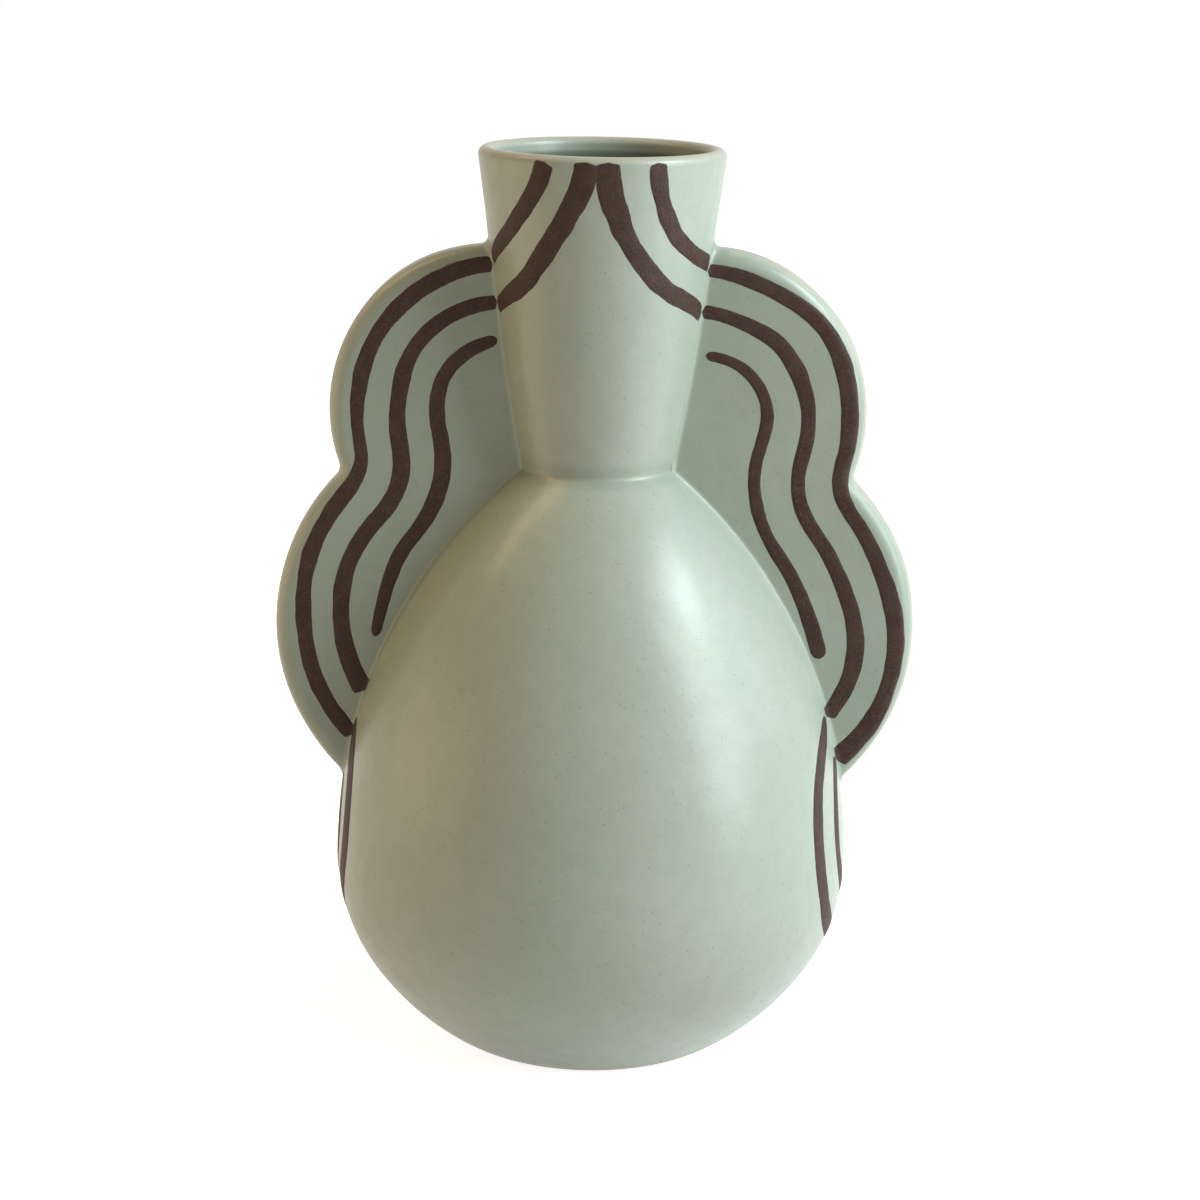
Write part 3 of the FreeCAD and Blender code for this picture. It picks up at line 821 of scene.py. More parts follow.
    def face_place(self, face: Face, flat: np.ndarray, lift: np.ndarray) -> np.ndarray:
        """Places on a face, right or left as the wing is.

        The depth is half the thickness there, plus the fillet, the unevenness and the lift.

        Args:
            face: the front or the back.
            flat: (x, z) places as if on the right, as (..., 2).
            lift: how far off the face.

        Returns:
            Places as (..., 3).
        """
        half = self.half_thickness(self.edge_distance(flat))
        places = np.stack([flat[..., 0], face.value * half, flat[..., 1]], -1)
        normals = np.broadcast_to(np.array([0.0, face.value, 0.0]), places.shape)
        lift = lift + self.flare(places, normals) + self.unevenness(places)
        return (places + normals * lift[..., None]) * self.mirror

    def root_line(self, stations: np.ndarray, line: np.ndarray,
                  length: float) -> tuple[np.ndarray, np.ndarray]:
        """Where each station's section meets the vessel, seen from the front.

        The root's length along the vessel's outline is drawn straight between four places: the
        wing's two ends and, opposite the notch's two ends, notch_root_heights. Its radius is what
        is left at root_offset in front of the axis.

        Args:
            stations: lengths along the wing's outline.
            line: the wing's outline, as (n, 2).
            length: the outline's whole length.

        Returns:
            Places on the vessel's side and directions out of its clay, both as (stations, 2).
        """
        upper_share = 0.975  # of the upper lobe's arc, what the cut at the neck leaves
        ends = self.vessel.length_at_height(np.array([line[0, 1], line[-1, 1]]))
        notch = self.vessel.length_at_height(np.array(self.notch_root_heights))
        arcs = np.array([arc.radius * abs(end - start) for arc, start, end, _ in self.turns()])
        touch = length - arcs[2] * upper_share - np.array([arcs[1], 0])
        root = np.interp(stations, [0, *touch, length], [ends[0], *notch, ends[1]])
        wall = self.vessel.outline_place(root)
        wall[:, 0] = np.sqrt(wall[:, 0] ** 2 - self.root_offset ** 2)
        return wall, self.vessel.smooth_normal(root)

    def half_sections(self) -> tuple[np.ndarray, np.ndarray, np.ndarray]:
        """The sections as seen from the front, each from the rim into the vessel's wall.

        A section goes square inwards over the rounded edge, then straight to the root, then
        along the vessel's own normal into its wall. Near the two ends, where rim and wall meet,
        the sections are drawn together.

        Returns:
            Places as (stations, across, 2), how deep inside the outline each lies, and the
            stations' inward directions as (stations, 2).
        """
        line, inward, length = self.outline()
        notch_share, fine, coarse, full_room = 0.53, 0.22, 1.5, 13
        stops = np.array([0.0, length[-1], length[-1] * notch_share])
        stations = spread(stops, fine, coarse, length[-1])
        edge = np.stack([np.interp(stations, length, line[:, k]) for k in (0, 1)], -1)
        inner = np.stack([np.interp(stations, length, inward[:, k]) for k in (0, 1)], -1)
        inner /= np.linalg.norm(inner, axis=-1, keepdims=True)
        wall, out = self.root_line(stations, line, length[-1])
        deep = wall - self.depth_in_wall * out
        room = np.clip(np.linalg.norm(edge - deep, axis=-1) / full_room, 0, 1)[:, None]

        bend = np.linspace(0, np.pi / 2, 10)[None, :]
        strip = self.edge_radius * (1 - np.cos(bend)) * np.ones_like(room) * room
        over = edge[:, None] + strip[..., None] * inner[:, None]
        # rows out of and into the vessel's wall, close together where the fillet bends
        from_wall = np.array([3.4, 2.6, 2.0, 1.5, 1.1, 0.8, 0.55, 0.35, 0.15, 0, -0.12, -0.24,
                              -0.36, -0.5, -0.65, -0.85, -1.2, -1.8, -2.5])[None, :]
        from_wall = from_wall * room - self.depth_in_wall * (1 - room)
        to_wall = wall[:, None] + from_wall[..., None] * out[:, None]
        share = np.linspace(0, 1, 26)[None, 1:-1, None]
        between = (1 - share) * over[:, -1:] + share * to_wall[:, :1]
        flat = np.concatenate([over, between, to_wall], axis=1)
        inside = self.edge_distance(flat)
        inside[:, :over.shape[1]] = strip
        return flat, np.maximum(inside, 0), inner

    def rings(self) -> GlazedRings:
        """The wing's closed sections: over the front, back along the other face, and the rim.

        A half section's place goes to its half thickness in front and behind, and along its
        normal by the fillet and the unevenness, less a dip and a sway of the rim.

        Returns:
            Its rings, how thin the glaze lies at each place, and how deep it pools at the joint,
            with painted shade on the flat faces.
        """
        flat, inside, inner = self.half_sections()
        half = self.half_thickness(inside)
        lean = np.clip((self.edge_radius - inside) / self.edge_radius, 0, 1)
        outward = -np.repeat(inner[:, None], flat.shape[1], axis=1)
        slope = np.sqrt(1 - lean ** 2)
        faces = []
        for face in Face:
            places = np.stack([flat[..., 0], face.value * half, flat[..., 1]], -1)
            normals = np.stack([outward[..., 0] * lean, face.value * slope,
                                outward[..., 1] * lean], -1)
            lift = self.flare(places, normals) + self.unevenness(places) * slope
            sway = wave_noise(places, length=38.0, seed=self.seed + 5)
            lift -= (self.rim_dip + self.rim_sway * sway) * lean
            faces.append(places + normals * lift[..., None])
        share = np.array([0.25, 0.5, 0.75])[None, :, None]
        rim = (1 - share) * faces[1][:, :1] + share * faces[0][:, :1]
        rings = np.concatenate([faces[0], faces[1][:, ::-1], rim], axis=1)

        apart = self.vessel.distance(rings)
        thinnest_at, thin_reach, rim_thin = 0.6, 2.2, 0.45
        corner = 1 - np.abs(inside - thinnest_at) / thin_reach
        rim_shape = (len(corner), share.size)
        thin = np.concatenate([corner, corner[:, ::-1], np.full(rim_shape, rim_thin)], axis=1)
        thin = np.clip(thin, 0, 1) * ease(1.0, 7.0, apart)
        level = np.concatenate([slope, slope[:, ::-1], np.zeros(rim_shape)], axis=1)
        joint = GLAZED_POOL - ease(0.0, self.joint_pool_reach, apart)
        # painted shade over the flat faces; real pooling at the joint with the vessel
        return rings * self.mirror, thin, np.maximum(joint, self.face_pool * level)

    def add(self, glaze: Material) -> None:
        """Make the wing.

        Args:
            glaze: its finish.
        """
        rings, thin, pool = self.rings()
        name = f"{self.side.word}_wing"
        piece = add_tube(f"{name}_glazed", rings, values={"thin": thin, "pool": pool})
        place(piece, glaze, Slot.GLAZE, name)


# Slip stripes


STROKE_WIDTH = 5.8
ROW_SPACING = 0.55  # between the rows of a stripe's mesh


@dataclass
class Brush:
    """How a stripe of slip lies: its width, its height over the glaze and its unsteadiness.

    sway moves the whole stroke, ragged moves its sides and swell widens it. A cap is the length
    over which an end closes, in widths. The stripe is seated in the glaze: side_sink is how deep
    its top's sides lie, root_depth how deep its underside's sides lie, and root_bulge how much
    deeper the underside's middle lies than those.
    """

    width: float = STROKE_WIDTH
    height: float = 0.28
    sway: float = 0.28
    ragged: float = 0.075
    swell: float = 0.05
    start_cap: float = 0.5
    end_cap: float = 0.5
    side_sink: float = 0.06
    root_depth: float = 0.30
    root_bulge: float = 0.1
    columns: int = 13

    def half_widths(self, along: np.ndarray, widths: tuple[float, ...]) -> np.ndarray:
        """Half the stripe's width along it.

        It follows a few widths spread evenly from start to end, and closes at each end nearly as
        an ellipse: times the root of 1 less nearly the 2.2nd power of the share of the cap left.

        Args:
            along: the length at each row.
            widths: widths along the stripe, as shares of the brush's.

        Returns:
            Half widths, one for each row.
        """
        knots = np.linspace(0, along[-1], len(widths))
        half = np.interp(along, knots, np.array(widths)) * self.width / 2
        closing, power = 0.995, 2.2
        for cap, gap in ((self.start_cap, along), (self.end_cap, along[-1] - along)):
            rest = np.clip(1 - gap / (cap * self.width), 0, 1)
            half = half * np.sqrt(1 - closing * rest ** power)
        return half

    def ribbon(self, path: np.ndarray, scale: np.ndarray, widths: tuple[float, ...],
               seed: int) -> tuple[np.ndarray, np.ndarray, np.ndarray]:
        """The stripe's outline in its surface's own two directions.

        A place is its row's middle plus the row's square direction times across times the half
        width, which swells slowly as the brush is pressed and is ragged on each side by itself;
        the whole row sways a little.

        Args:
            path: its middle line, as (n, 2), in the surface's directions.
            scale: millimetres for each unit of the two directions, as (n, 2).
            widths: widths along it, as shares of the brush's.
            seed: picks its unsteadiness.

        Returns:
            Places across and along it as (n, columns, 2), how far across each is, from -1 to 1,
            and its length in millimetres, both as (n, columns).
        """
        way = np.gradient(path, axis=0) * scale
        way /= np.linalg.norm(way, axis=-1, keepdims=True)
        steps = np.linalg.norm(np.diff(path, axis=0) * scale[1:], axis=-1)
        along = np.concatenate([[0], np.cumsum(steps)])
        trail = np.stack([along, 0 * along, 0 * along + seed], -1)
        sway = self.sway * wave_noise(trail, length=46.0, seed=seed)
        swell = 1 + self.swell * wave_noise(trail, length=21.0, seed=seed + 1)
        half = self.half_widths(along, widths) * swell
        across = np.linspace(-1, 1, self.columns)[None, :]
        rough = np.stack([1.4 * wave_noise(trail, length=9.0, seed=seed + side)
                          + 0.5 * wave_noise(trail, length=3.1, seed=seed + 7 + side)
                          for side in (2, 3)], -1)
        calm = half / half.max()
        sides = half[:, None] + self.ragged * rough * calm[:, None]
        reach = np.where(across < 0, sides[:, :1], sides[:, 1:]) * across + sway[:, None]
        aside = np.stack([-way[:, 1], way[:, 0]], -1)[:, None]
        places = path[:, None] + aside * reach[..., None] / scale[:, None]
        return (places, np.broadcast_to(across, reach.shape),
                np.repeat(along[:, None], self.columns, axis=1))

    def lay(self, node: str, surface: SurfacePlace, path: np.ndarray, scale: np.ndarray,
            widths: tuple[float, ...], seed: int, slip: Material) -> None:
        """Make one stripe: a low ribbon whose top is domed and whose underside is in the glaze.

        The top stands height times the dome less side_sink over the surface, and the underside
        lies root_depth plus root_bulge times the dome below it. The dome is one minus the fourth
        power of the distance across.

        Args:
            node: the name of the node that the stripe stands for; it ends in _stripe or _ring.
            surface: gives places in space for flat places and lifts.
            path: the stripe's middle line, as (n, 2), in the surface's directions.
            scale: millimetres for each unit of the two directions, as (n, 2).
            widths: widths along it, as shares of the brush's.
            seed: picks its unsteadiness.
            slip: its finish.
        """
        flat, across, along = self.ribbon(path, scale, widths, seed)
        dome = 1 - np.abs(across) ** 4
        top = surface(flat, self.height * dome - self.side_sink)
        under = surface(flat, -self.root_depth - self.root_bulge * dome)
        rings = np.concatenate([top, under[:, ::-1]], axis=1)
        side = np.concatenate([across, across[:, ::-1]], axis=1)
        uv = np.stack([side * self.width / 2, np.concatenate([along, along], axis=1)], -1) * MM
        name = node.removesuffix("_stripe") if "_wing_" in node else node
        piece = add_tube(f"{name}_slip", rings, sharp=70.0, values={"across": np.abs(side)}, uv=uv)
        place(piece, slip, Slot.SLIP, node)


def smooth_path(path: np.ndarray, reach: float) -> np.ndarray:
    """An even path smoothed by a bell-shaped window.

    Beyond its ends the path is carried on as its own mirror image through the end point, so the
    ends stay where they are.

    Args:
        path: an even path, as (n, 2).
        reach: the window's width, in millimetres.

    Returns:
        The smoothed path, as long as the first.
    """
    step = float(np.linalg.norm(path[1] - path[0]))
    half = max(1, min(int(reach / step / 2) * 2, len(path) - 2))
    window = np.hanning(2 * half + 3)[1:-1]
    window /= window.sum()
    before = 2 * path[0] - path[half:0:-1]
    after = 2 * path[-1] - path[-2:-half - 2:-1]
    whole = np.concatenate([before, path, after])
    return np.stack([np.convolve(whole[:, k], window, "valid") for k in (0, 1)], -1)


def even_path(points: np.ndarray, scale: np.ndarray, spacing: float) -> np.ndarray:
    """A densely drawn path redrawn with even steps, measured in millimetres.

    Args:
        points: the dense path, as (n, 2).
        scale: millimetres for each unit of its two directions, as (n, 2).
        spacing: about how long a step is.

    Returns:
        The even path, as (m, 2).
    """
    steps = np.linalg.norm(np.diff(points, axis=0) * scale[1:], axis=-1)
    length = np.concatenate([[0], np.cumsum(steps)])
    even = np.linspace(0, length[-1], max(8, int(length[-1] / spacing)))
    return np.stack([np.interp(even, length, points[:, k]) for k in (0, 1)], -1)


@dataclass(frozen=True)
class LobeLine:
    """A stripe along a wing's lobes, from the top down to its end.

    insets are how far inside the edge its middle runs, at even steps along each arc: five on the
    upper lobe, one in the notch and five on the lower lobe. start_angle and end_angle are where
    it starts and ends, in degrees, seen from the upper and from the lower lobe's centre; clear is
    how far it keeps from the vessel.
    """

    line: str
    insets: tuple[float, ...]
    start_angle: float
    end_angle: float
    widths: tuple[float, ...] = (1.0, 1.0)
    start_cap: float = 0.2
    end_cap: float = 0.2
    clear: float = 0.1


@dataclass
class WingStripes:
    """The three stripes on each face of a wing."""

    wing: Wing
    lines: dict[Face, tuple[LobeLine, ...]]

    def path(self, line: LobeLine) -> np.ndarray:
        """A stripe's middle line: the wing's outline moved inwards by the line's insets.

        It is drawn from the top down, smoothed, and cut where it would touch the vessel.

        Args:
            line: the stripe as it was painted.

        Returns:
            (x, z) places as if on the right wing, as (n, 2).
        """
        samples, spacing, smoothing = 400, 0.4, 10.0
        wing = self.wing
        (lower, _, low_end, _), (notch, first, last, _), (upper, up_start, _, _) = wing.turns()
        runs = [(upper, math.radians(line.start_angle), up_start, 1),
                (notch, last, first, -1),
                (lower, low_end, math.radians(line.end_angle), 1)]
        shares, rays, arcs = [], [], []
        for number, (arc, start, end, bulge) in enumerate(runs):
            angles = np.linspace(start, end, samples)
            shares.append(np.linspace(0, 1, samples) + number)
            rays.append(np.stack([np.cos(angles), np.sin(angles)], -1) * bulge)
            arcs.append(arc.centre + arc.radius * bulge * rays[-1])
        knots = np.concatenate([np.linspace(0, 1, 5), [1.5], np.linspace(2, 3, 5)])
        inset = np.interp(np.concatenate(shares), knots, np.array(line.insets))
        drawn = np.concatenate(arcs) - np.concatenate(rays) * inset[:, None]
        even = smooth_path(even_path(drawn, np.ones_like(drawn), spacing), smoothing)
        half = wing.half_thickness(wing.edge_distance(even))
        apart = wing.vessel.distance(np.stack([even[:, 0], -half, even[:, 1]], -1))
        return even[apart > line.clear]

    def add(self, slip: Material) -> None:
        """Make the stripes, each with a seed of its own.

        Args:
            slip: their finish.
        """
        wing = self.wing
        for face, lines in self.lines.items():
            for number, line in enumerate(lines):
                dense = self.path(line)
                path = even_path(dense, np.ones_like(dense), ROW_SPACING)
                brush = Brush(start_cap=line.start_cap, end_cap=line.end_cap)
                seed = 100 + 17 * number + 5 * wing.side.value + 3 * face.value
                brush.lay(f"{wing.side.word}_wing_{face.word}_{line.line}_stripe",
                          partial(wing.face_place, face), path, np.ones_like(path), line.widths,
                          seed, slip)


@dataclass(frozen=True)
class NeckLine:
    """A stripe down the neck, drawn softly through points.

    Each point is an azimuth in degrees from the front, and a height.
    """

    side: Side
    line: str
    points: tuple[Pair, ...]
    widths: tuple[float, ...] = (1.0, 1.0)
    start_cap: float = 0.22
    end_cap: float = 0.2


@dataclass(frozen=True)
class Ring:
    """An oval ring on the belly round the foot of a wing, seen from that side.

    middle is how far it is painted towards the back and how high, and reach is its two half
    sizes. It starts in front of the wing and ends behind it, each so many degrees from its top.
    """

    side: Side
    line: str
    middle: Pair
    reach: Pair
    ends: Pair
    width: float = 1.0
    start_cap: float = 0.5


@dataclass
class VesselStripes:
    """The stripes on the neck and the rings on the belly."""

    vessel: Vessel
    neck_lines: dict[Face, tuple[NeckLine, ...]]
    rings: tuple[Ring, ...]

    def surface(self, flat: np.ndarray, lift: np.ndarray) -> np.ndarray:
        """Places on the vessel; over the lip's edge they bend inwards.

        There the surface goes in by r minus the root of r squared less the rise squared.

        Args:
            flat: azimuths and heights, as (..., 2).
            lift: how far outside the surface.

        Returns:
            Places as (..., 3).
        """
        most_rise, below_lip = 0.8, 0.02
        vessel, bend = self.vessel, self.vessel.wall / 2
        rise = np.clip(flat[..., 1] - vessel.lip_height, 0, most_rise * bend)
        lift = lift - (bend - np.sqrt(bend ** 2 - rise ** 2))
        height = np.minimum(flat[..., 1], vessel.lip_height - below_lip)
        places = vessel.surface(flat[..., 0], height, lift)
        places[..., 2] += rise
        return places

    def scale(self, path: np.ndarray) -> np.ndarray:
        """Millimetres for each radian and each millimetre of height along a path."""
        return np.stack(self.vessel.scale(path[:, 1]), -1)

    def lay(self, node: str, brush: Brush, dense: np.ndarray, widths: tuple[float, ...],
            seed: int, slip: Material) -> None:
        """Lay one stripe along a line.

        Args:
            node: the name of the node that it stands for.
            brush: how the slip lies.
            dense: the line, densely drawn as azimuths and heights, as (n, 2).
            widths: widths along it, as shares of the brush's.
            seed: picks its unsteadiness.
            slip: its finish.
        """
        path = even_path(dense, self.scale(dense), ROW_SPACING)
        brush.lay(node, self.surface, path, self.scale(path), widths, seed, slip)

    def neck_path(self, line: NeckLine, face: Face) -> np.ndarray:
        """The smoothed line through a stripe's points; behind, it goes the other way round.

        Args:
            line: the stripe as it was painted.
            face: the front or the back of the neck.

        Returns:
            Azimuths and heights, as (n, 2).
        """
        samples, spacing, smoothing = 700, 0.3, 8.0
        millimetres = np.array([30.0, 1.0])  # roughly, for each radian and for each of height
        points = np.array(line.points)
        azimuth = np.radians(points[:, 0])
        points[:, 0] = azimuth if face is Face.FRONT else np.pi - azimuth
        steps = np.linspace(0, len(points) - 1, samples)
        dense = np.stack([np.interp(steps, np.arange(len(points)), points[:, k])
                          for k in (0, 1)], -1)
        even = even_path(dense, millimetres + 0 * dense, spacing)
        return smooth_path(even * millimetres, smoothing) / millimetres

    def ring_path(self, ring: Ring) -> np.ndarray:
        """A ring's line: an ellipse seen from the side, laid on the body.

        The azimuth is a quarter turn plus the arc sine of the depth over the body's radius.

        Args:
            ring: the ring as it was painted.

        Returns:
            Azimuths and heights, as (n, 2).
        """
        samples = 1500
        turn = np.radians(np.linspace(ring.ends[0], 360 - ring.ends[1], samples))
        depth = ring.middle[0] - ring.reach[0] * np.sin(turn)
        height = ring.middle[1] + ring.reach[1] * np.cos(turn)
        radius = self.vessel.scale(height)[0]
        azimuth = ring.side.value * (np.pi / 2 + np.arcsin(depth / radius))
        return np.stack([azimuth, height], -1)

    def add(self, slip: Material) -> None:
        """Make the stripes and the rings, each with a seed of its own.

        Args:
            slip: their finish.
        """
        for face, lines in self.neck_lines.items():
            for number, line in enumerate(lines):
                brush = Brush(ragged=0.11, sway=0.32, start_cap=line.start_cap,
                              end_cap=line.end_cap)
                self.lay(f"neck_{face.word}_{line.side.word}_{line.line}_stripe", brush,
                         self.neck_path(line, face), line.widths,
                         300 + number + 7 * face.value, slip)
        for number, ring in enumerate(self.rings):
            brush = Brush(width=STROKE_WIDTH * ring.width, start_cap=ring.start_cap)
            self.lay(f"{ring.side.word}_foot_{ring.line}_ring", brush, self.ring_path(ring),
                     (1.0, 1.0), 400 + 3 * number, slip)


# Finishes


WHITE = (1.0, 1.0, 1.0, 1.0)


def feed(tree: Tree, socket: Socket, value: object) -> None:
    """Give an input its value.

    Args:
        tree: the node tree.
        socket: the input.
        value: a socket, which is linked, or a number, vector or colour, which is set.
    """
    if isinstance(value, Socket):
        tree.links.new(value, socket)
    else:
        socket.default_value = value


def math_node(tree: Tree, kind: str, *inputs: object) -> Socket:
    """A Math node.

    Args:
        tree: the node tree.
        kind: the node's operation.
        inputs: a socket or a number for each input.

    Returns:
        Its output.
    """
    node = tree.nodes.new("ShaderNodeMath")
    node.operation = kind
    for socket, value in zip(node.inputs, inputs):
        feed(tree, socket, value)
    return node.outputs[0]


def noise_node(tree: Tree, vector: Socket, scale: float, detail: float = 3.0,
               rough: float = 0.5) -> Socket:
    """Noise on a vector.

    Args:
        tree: the node tree.
        vector: where the noise is read.
        scale: its scale per metre.
        detail: how many finer layers it has.
        rough: how strong the finer layers are.

    Returns:
        Its factor, about 0 to 1.
    """
    node = tree.nodes.new("ShaderNodeTexNoise")
    for label, value in (("Vector", vector), ("Scale", scale), ("Detail", detail),
                         ("Roughness", rough)):
        feed(tree, node.inputs[label], value)
    return node.outputs["Fac"]


def range_node(tree: Tree, value: Socket, low: float, high: float, out_low: float = 0.0,
               out_high: float = 1.0) -> Socket:
    """A clamped, smoothed change of range.

    Args:
        tree: the node tree.
        value: what is changed.
        low: the value that becomes out_low.
        high: the value that becomes out_high.
        out_low: the result at low.
        out_high: the result at high.

    Returns:
        Its result.
    """
    node = tree.nodes.new("ShaderNodeMapRange")
    node.interpolation_type = "SMOOTHSTEP"
    for label, number in (("Value", value), ("From Min", low), ("From Max", high),
                          ("To Min", out_low), ("To Max", out_high)):
        feed(tree, node.inputs[label], number)
    return node.outputs["Result"]


def mix_node(tree: Tree, factor: Socket, first: object, second: object) -> Socket:
    """A colour mix.

    Args:
        tree: the node tree.
        factor: the share of the second colour.
        first: a socket or four numbers.
        second: a socket or four numbers.

    Returns:
        Its result.
    """
    node = tree.nodes.new("ShaderNodeMix")
    node.data_type = "RGBA"
    factor_in, first_in, second_in, colour_out = 0, 6, 7, 2
    for number, value in ((factor_in, factor), (first_in, first), (second_in, second)):
        feed(tree, node.inputs[number], value)
    return node.outputs[colour_out]


def bump_normal(tree: Tree, height: Socket, strength: float, distance: float) -> Socket:
    """A Bump node.

    Args:
        tree: the node tree.
        height: the relief, about 0 to 1.
        strength: how much of it shows.
        distance: how deep it is, in metres.

    Returns:
        Its normal.
    """
    node = tree.nodes.new("ShaderNodeBump")
    for label, value in (("Strength", strength), ("Distance", distance), ("Height", height)):
        feed(tree, node.inputs[label], value)
    return node.outputs["Normal"]


def attribute(tree: Tree, name: str) -> Socket:
    """A piece's own numbers, by their name.

    Args:
        tree: the node tree.
        name: the attribute's name.

    Returns:
        Its factor.
    """
    node = tree.nodes.new("ShaderNodeAttribute")
    node.attribute_name = name
    return node.outputs["Fac"]


def object_place(tree: Tree) -> Socket:
    """Object coordinates."""
    return tree.nodes.new("ShaderNodeTexCoord").outputs["Object"]


def new_group(name: str, inputs: dict[str, str],
              outputs: list[str]) -> tuple[Tree, dict[str, Socket], dict[str, Socket]]:
    """An empty shader node group with named sockets.

    Args:
        name: the group's name.
        inputs: each input's name with its kind, Vector or Float.
        outputs: the names of its outputs, which are all numbers.

    Returns:
        The group, its inputs as sockets to read from, and its outputs as sockets to feed.
    """
    tree = bpy.data.node_groups.new(name, "ShaderNodeTree")
    for label, kind in inputs.items():
        tree.interface.new_socket(name=label, in_out="INPUT", socket_type=f"NodeSocket{kind}")
    for label in outputs:
        tree.interface.new_socket(name=label, in_out="OUTPUT", socket_type="NodeSocketFloat")
    entry = tree.nodes.new("NodeGroupInput")
    leave = tree.nodes.new("NodeGroupOutput")
    return tree, {s.name: s for s in entry.outputs}, {s.name: s for s in leave.inputs}


def use_group(tree: Tree, group: Tree, **values: object) -> dict[str, Socket]:
    """Place a group in a material.

    Args:
        tree: the material's node tree.
        group: the group.
        values: a socket or a number for each input, by its name.

    Returns:
        The group's outputs by name.
    """
    node = tree.nodes.new("ShaderNodeGroup")
    node.node_tree = group
    for label, value in values.items():
        feed(tree, node.inputs[label], value)
    return {s.name: s for s in node.outputs}


def new_material(name: str, **settings: object) -> tuple[Material, Tree, dict[str, Socket]]:
    """A node material with a Principled shader.

    Args:
        name: the material's name.
        settings: numbers and colours set on the shader's own sockets; an underscore in a name
            stands for a space.

    Returns:
        The material, its node tree, and the shader's inputs by name.
    """
    material = bpy.data.materials.new(name)
    material.use_nodes = True
    tree = material.node_tree
    shader = next(n for n in tree.nodes if n.bl_idname == "ShaderNodeBsdfPrincipled")
    for label, value in settings.items():
        shader.inputs[label.replace("_", " ")].default_value = value
    return material, tree, {s.name: s for s in shader.inputs}


def make_speckle_group() -> Tree:
    """Small scattered spots of two sizes, as iron specks and pinholes in fired stoneware.

    A spot is a soft disc round the middle of a Voronoi cell, in those cells whose random colour
    is above a share.

    Returns:
        The group: Vector and Amount give Specks and Pinholes, both 0 to 1.
    """
    tree, given, gives = new_group("stoneware_speckle", {"Vector": "Vector", "Amount": "Float"},
                                   ["Specks", "Pinholes"])
    full_at = 0.4
    spots = []
    for scale, size, share in ((700.0, 0.26, 0.90), (60.0, 0.022, 0.88)):
        cells = tree.nodes.new("ShaderNodeTexVoronoi")
        feed(tree, cells.inputs["Scale"], scale)
        feed(tree, cells.inputs["Vector"], given["Vector"])
        chance = tree.nodes.new("ShaderNodeSeparateColor")
        feed(tree, chance.inputs[0], cells.outputs["Color"])
        chosen = math_node(tree, "GREATER_THAN", chance.outputs[0], share)
        dot = range_node(tree, cells.outputs["Distance"], size, size * full_at)
        spots.append(math_node(tree, "MULTIPLY", dot, chosen))
    specks, pinholes = spots
    feed(tree, gives["Specks"], math_node(tree, "MULTIPLY", specks, given["Amount"]))
    feed(tree, gives["Pinholes"], pinholes)
    return tree


def make_grain_group() -> Tree:
    """Fine grain, mottling and slow patches: three scales of noise.

    Returns:
        The group: Vector gives Grain, Mottle and Patches, each about 0 to 1.
    """
    tree, given, gives = new_group("stoneware_grain", {"Vector": "Vector"},
                                   ["Grain", "Mottle", "Patches"])
    vector = given["Vector"]
    mottle = noise_node(tree, vector, 160.0, 5.0, 0.6)
    patches = noise_node(tree, vector, 17.0, 3.0, 0.5)
    feed(tree, gives["Grain"], noise_node(tree, vector, 1500.0, 2.0, 0.6))
    feed(tree, gives["Mottle"], range_node(tree, mottle, 0.3, 0.7))
    feed(tree, gives["Patches"], range_node(tree, patches, 0.32, 0.68))
    return tree


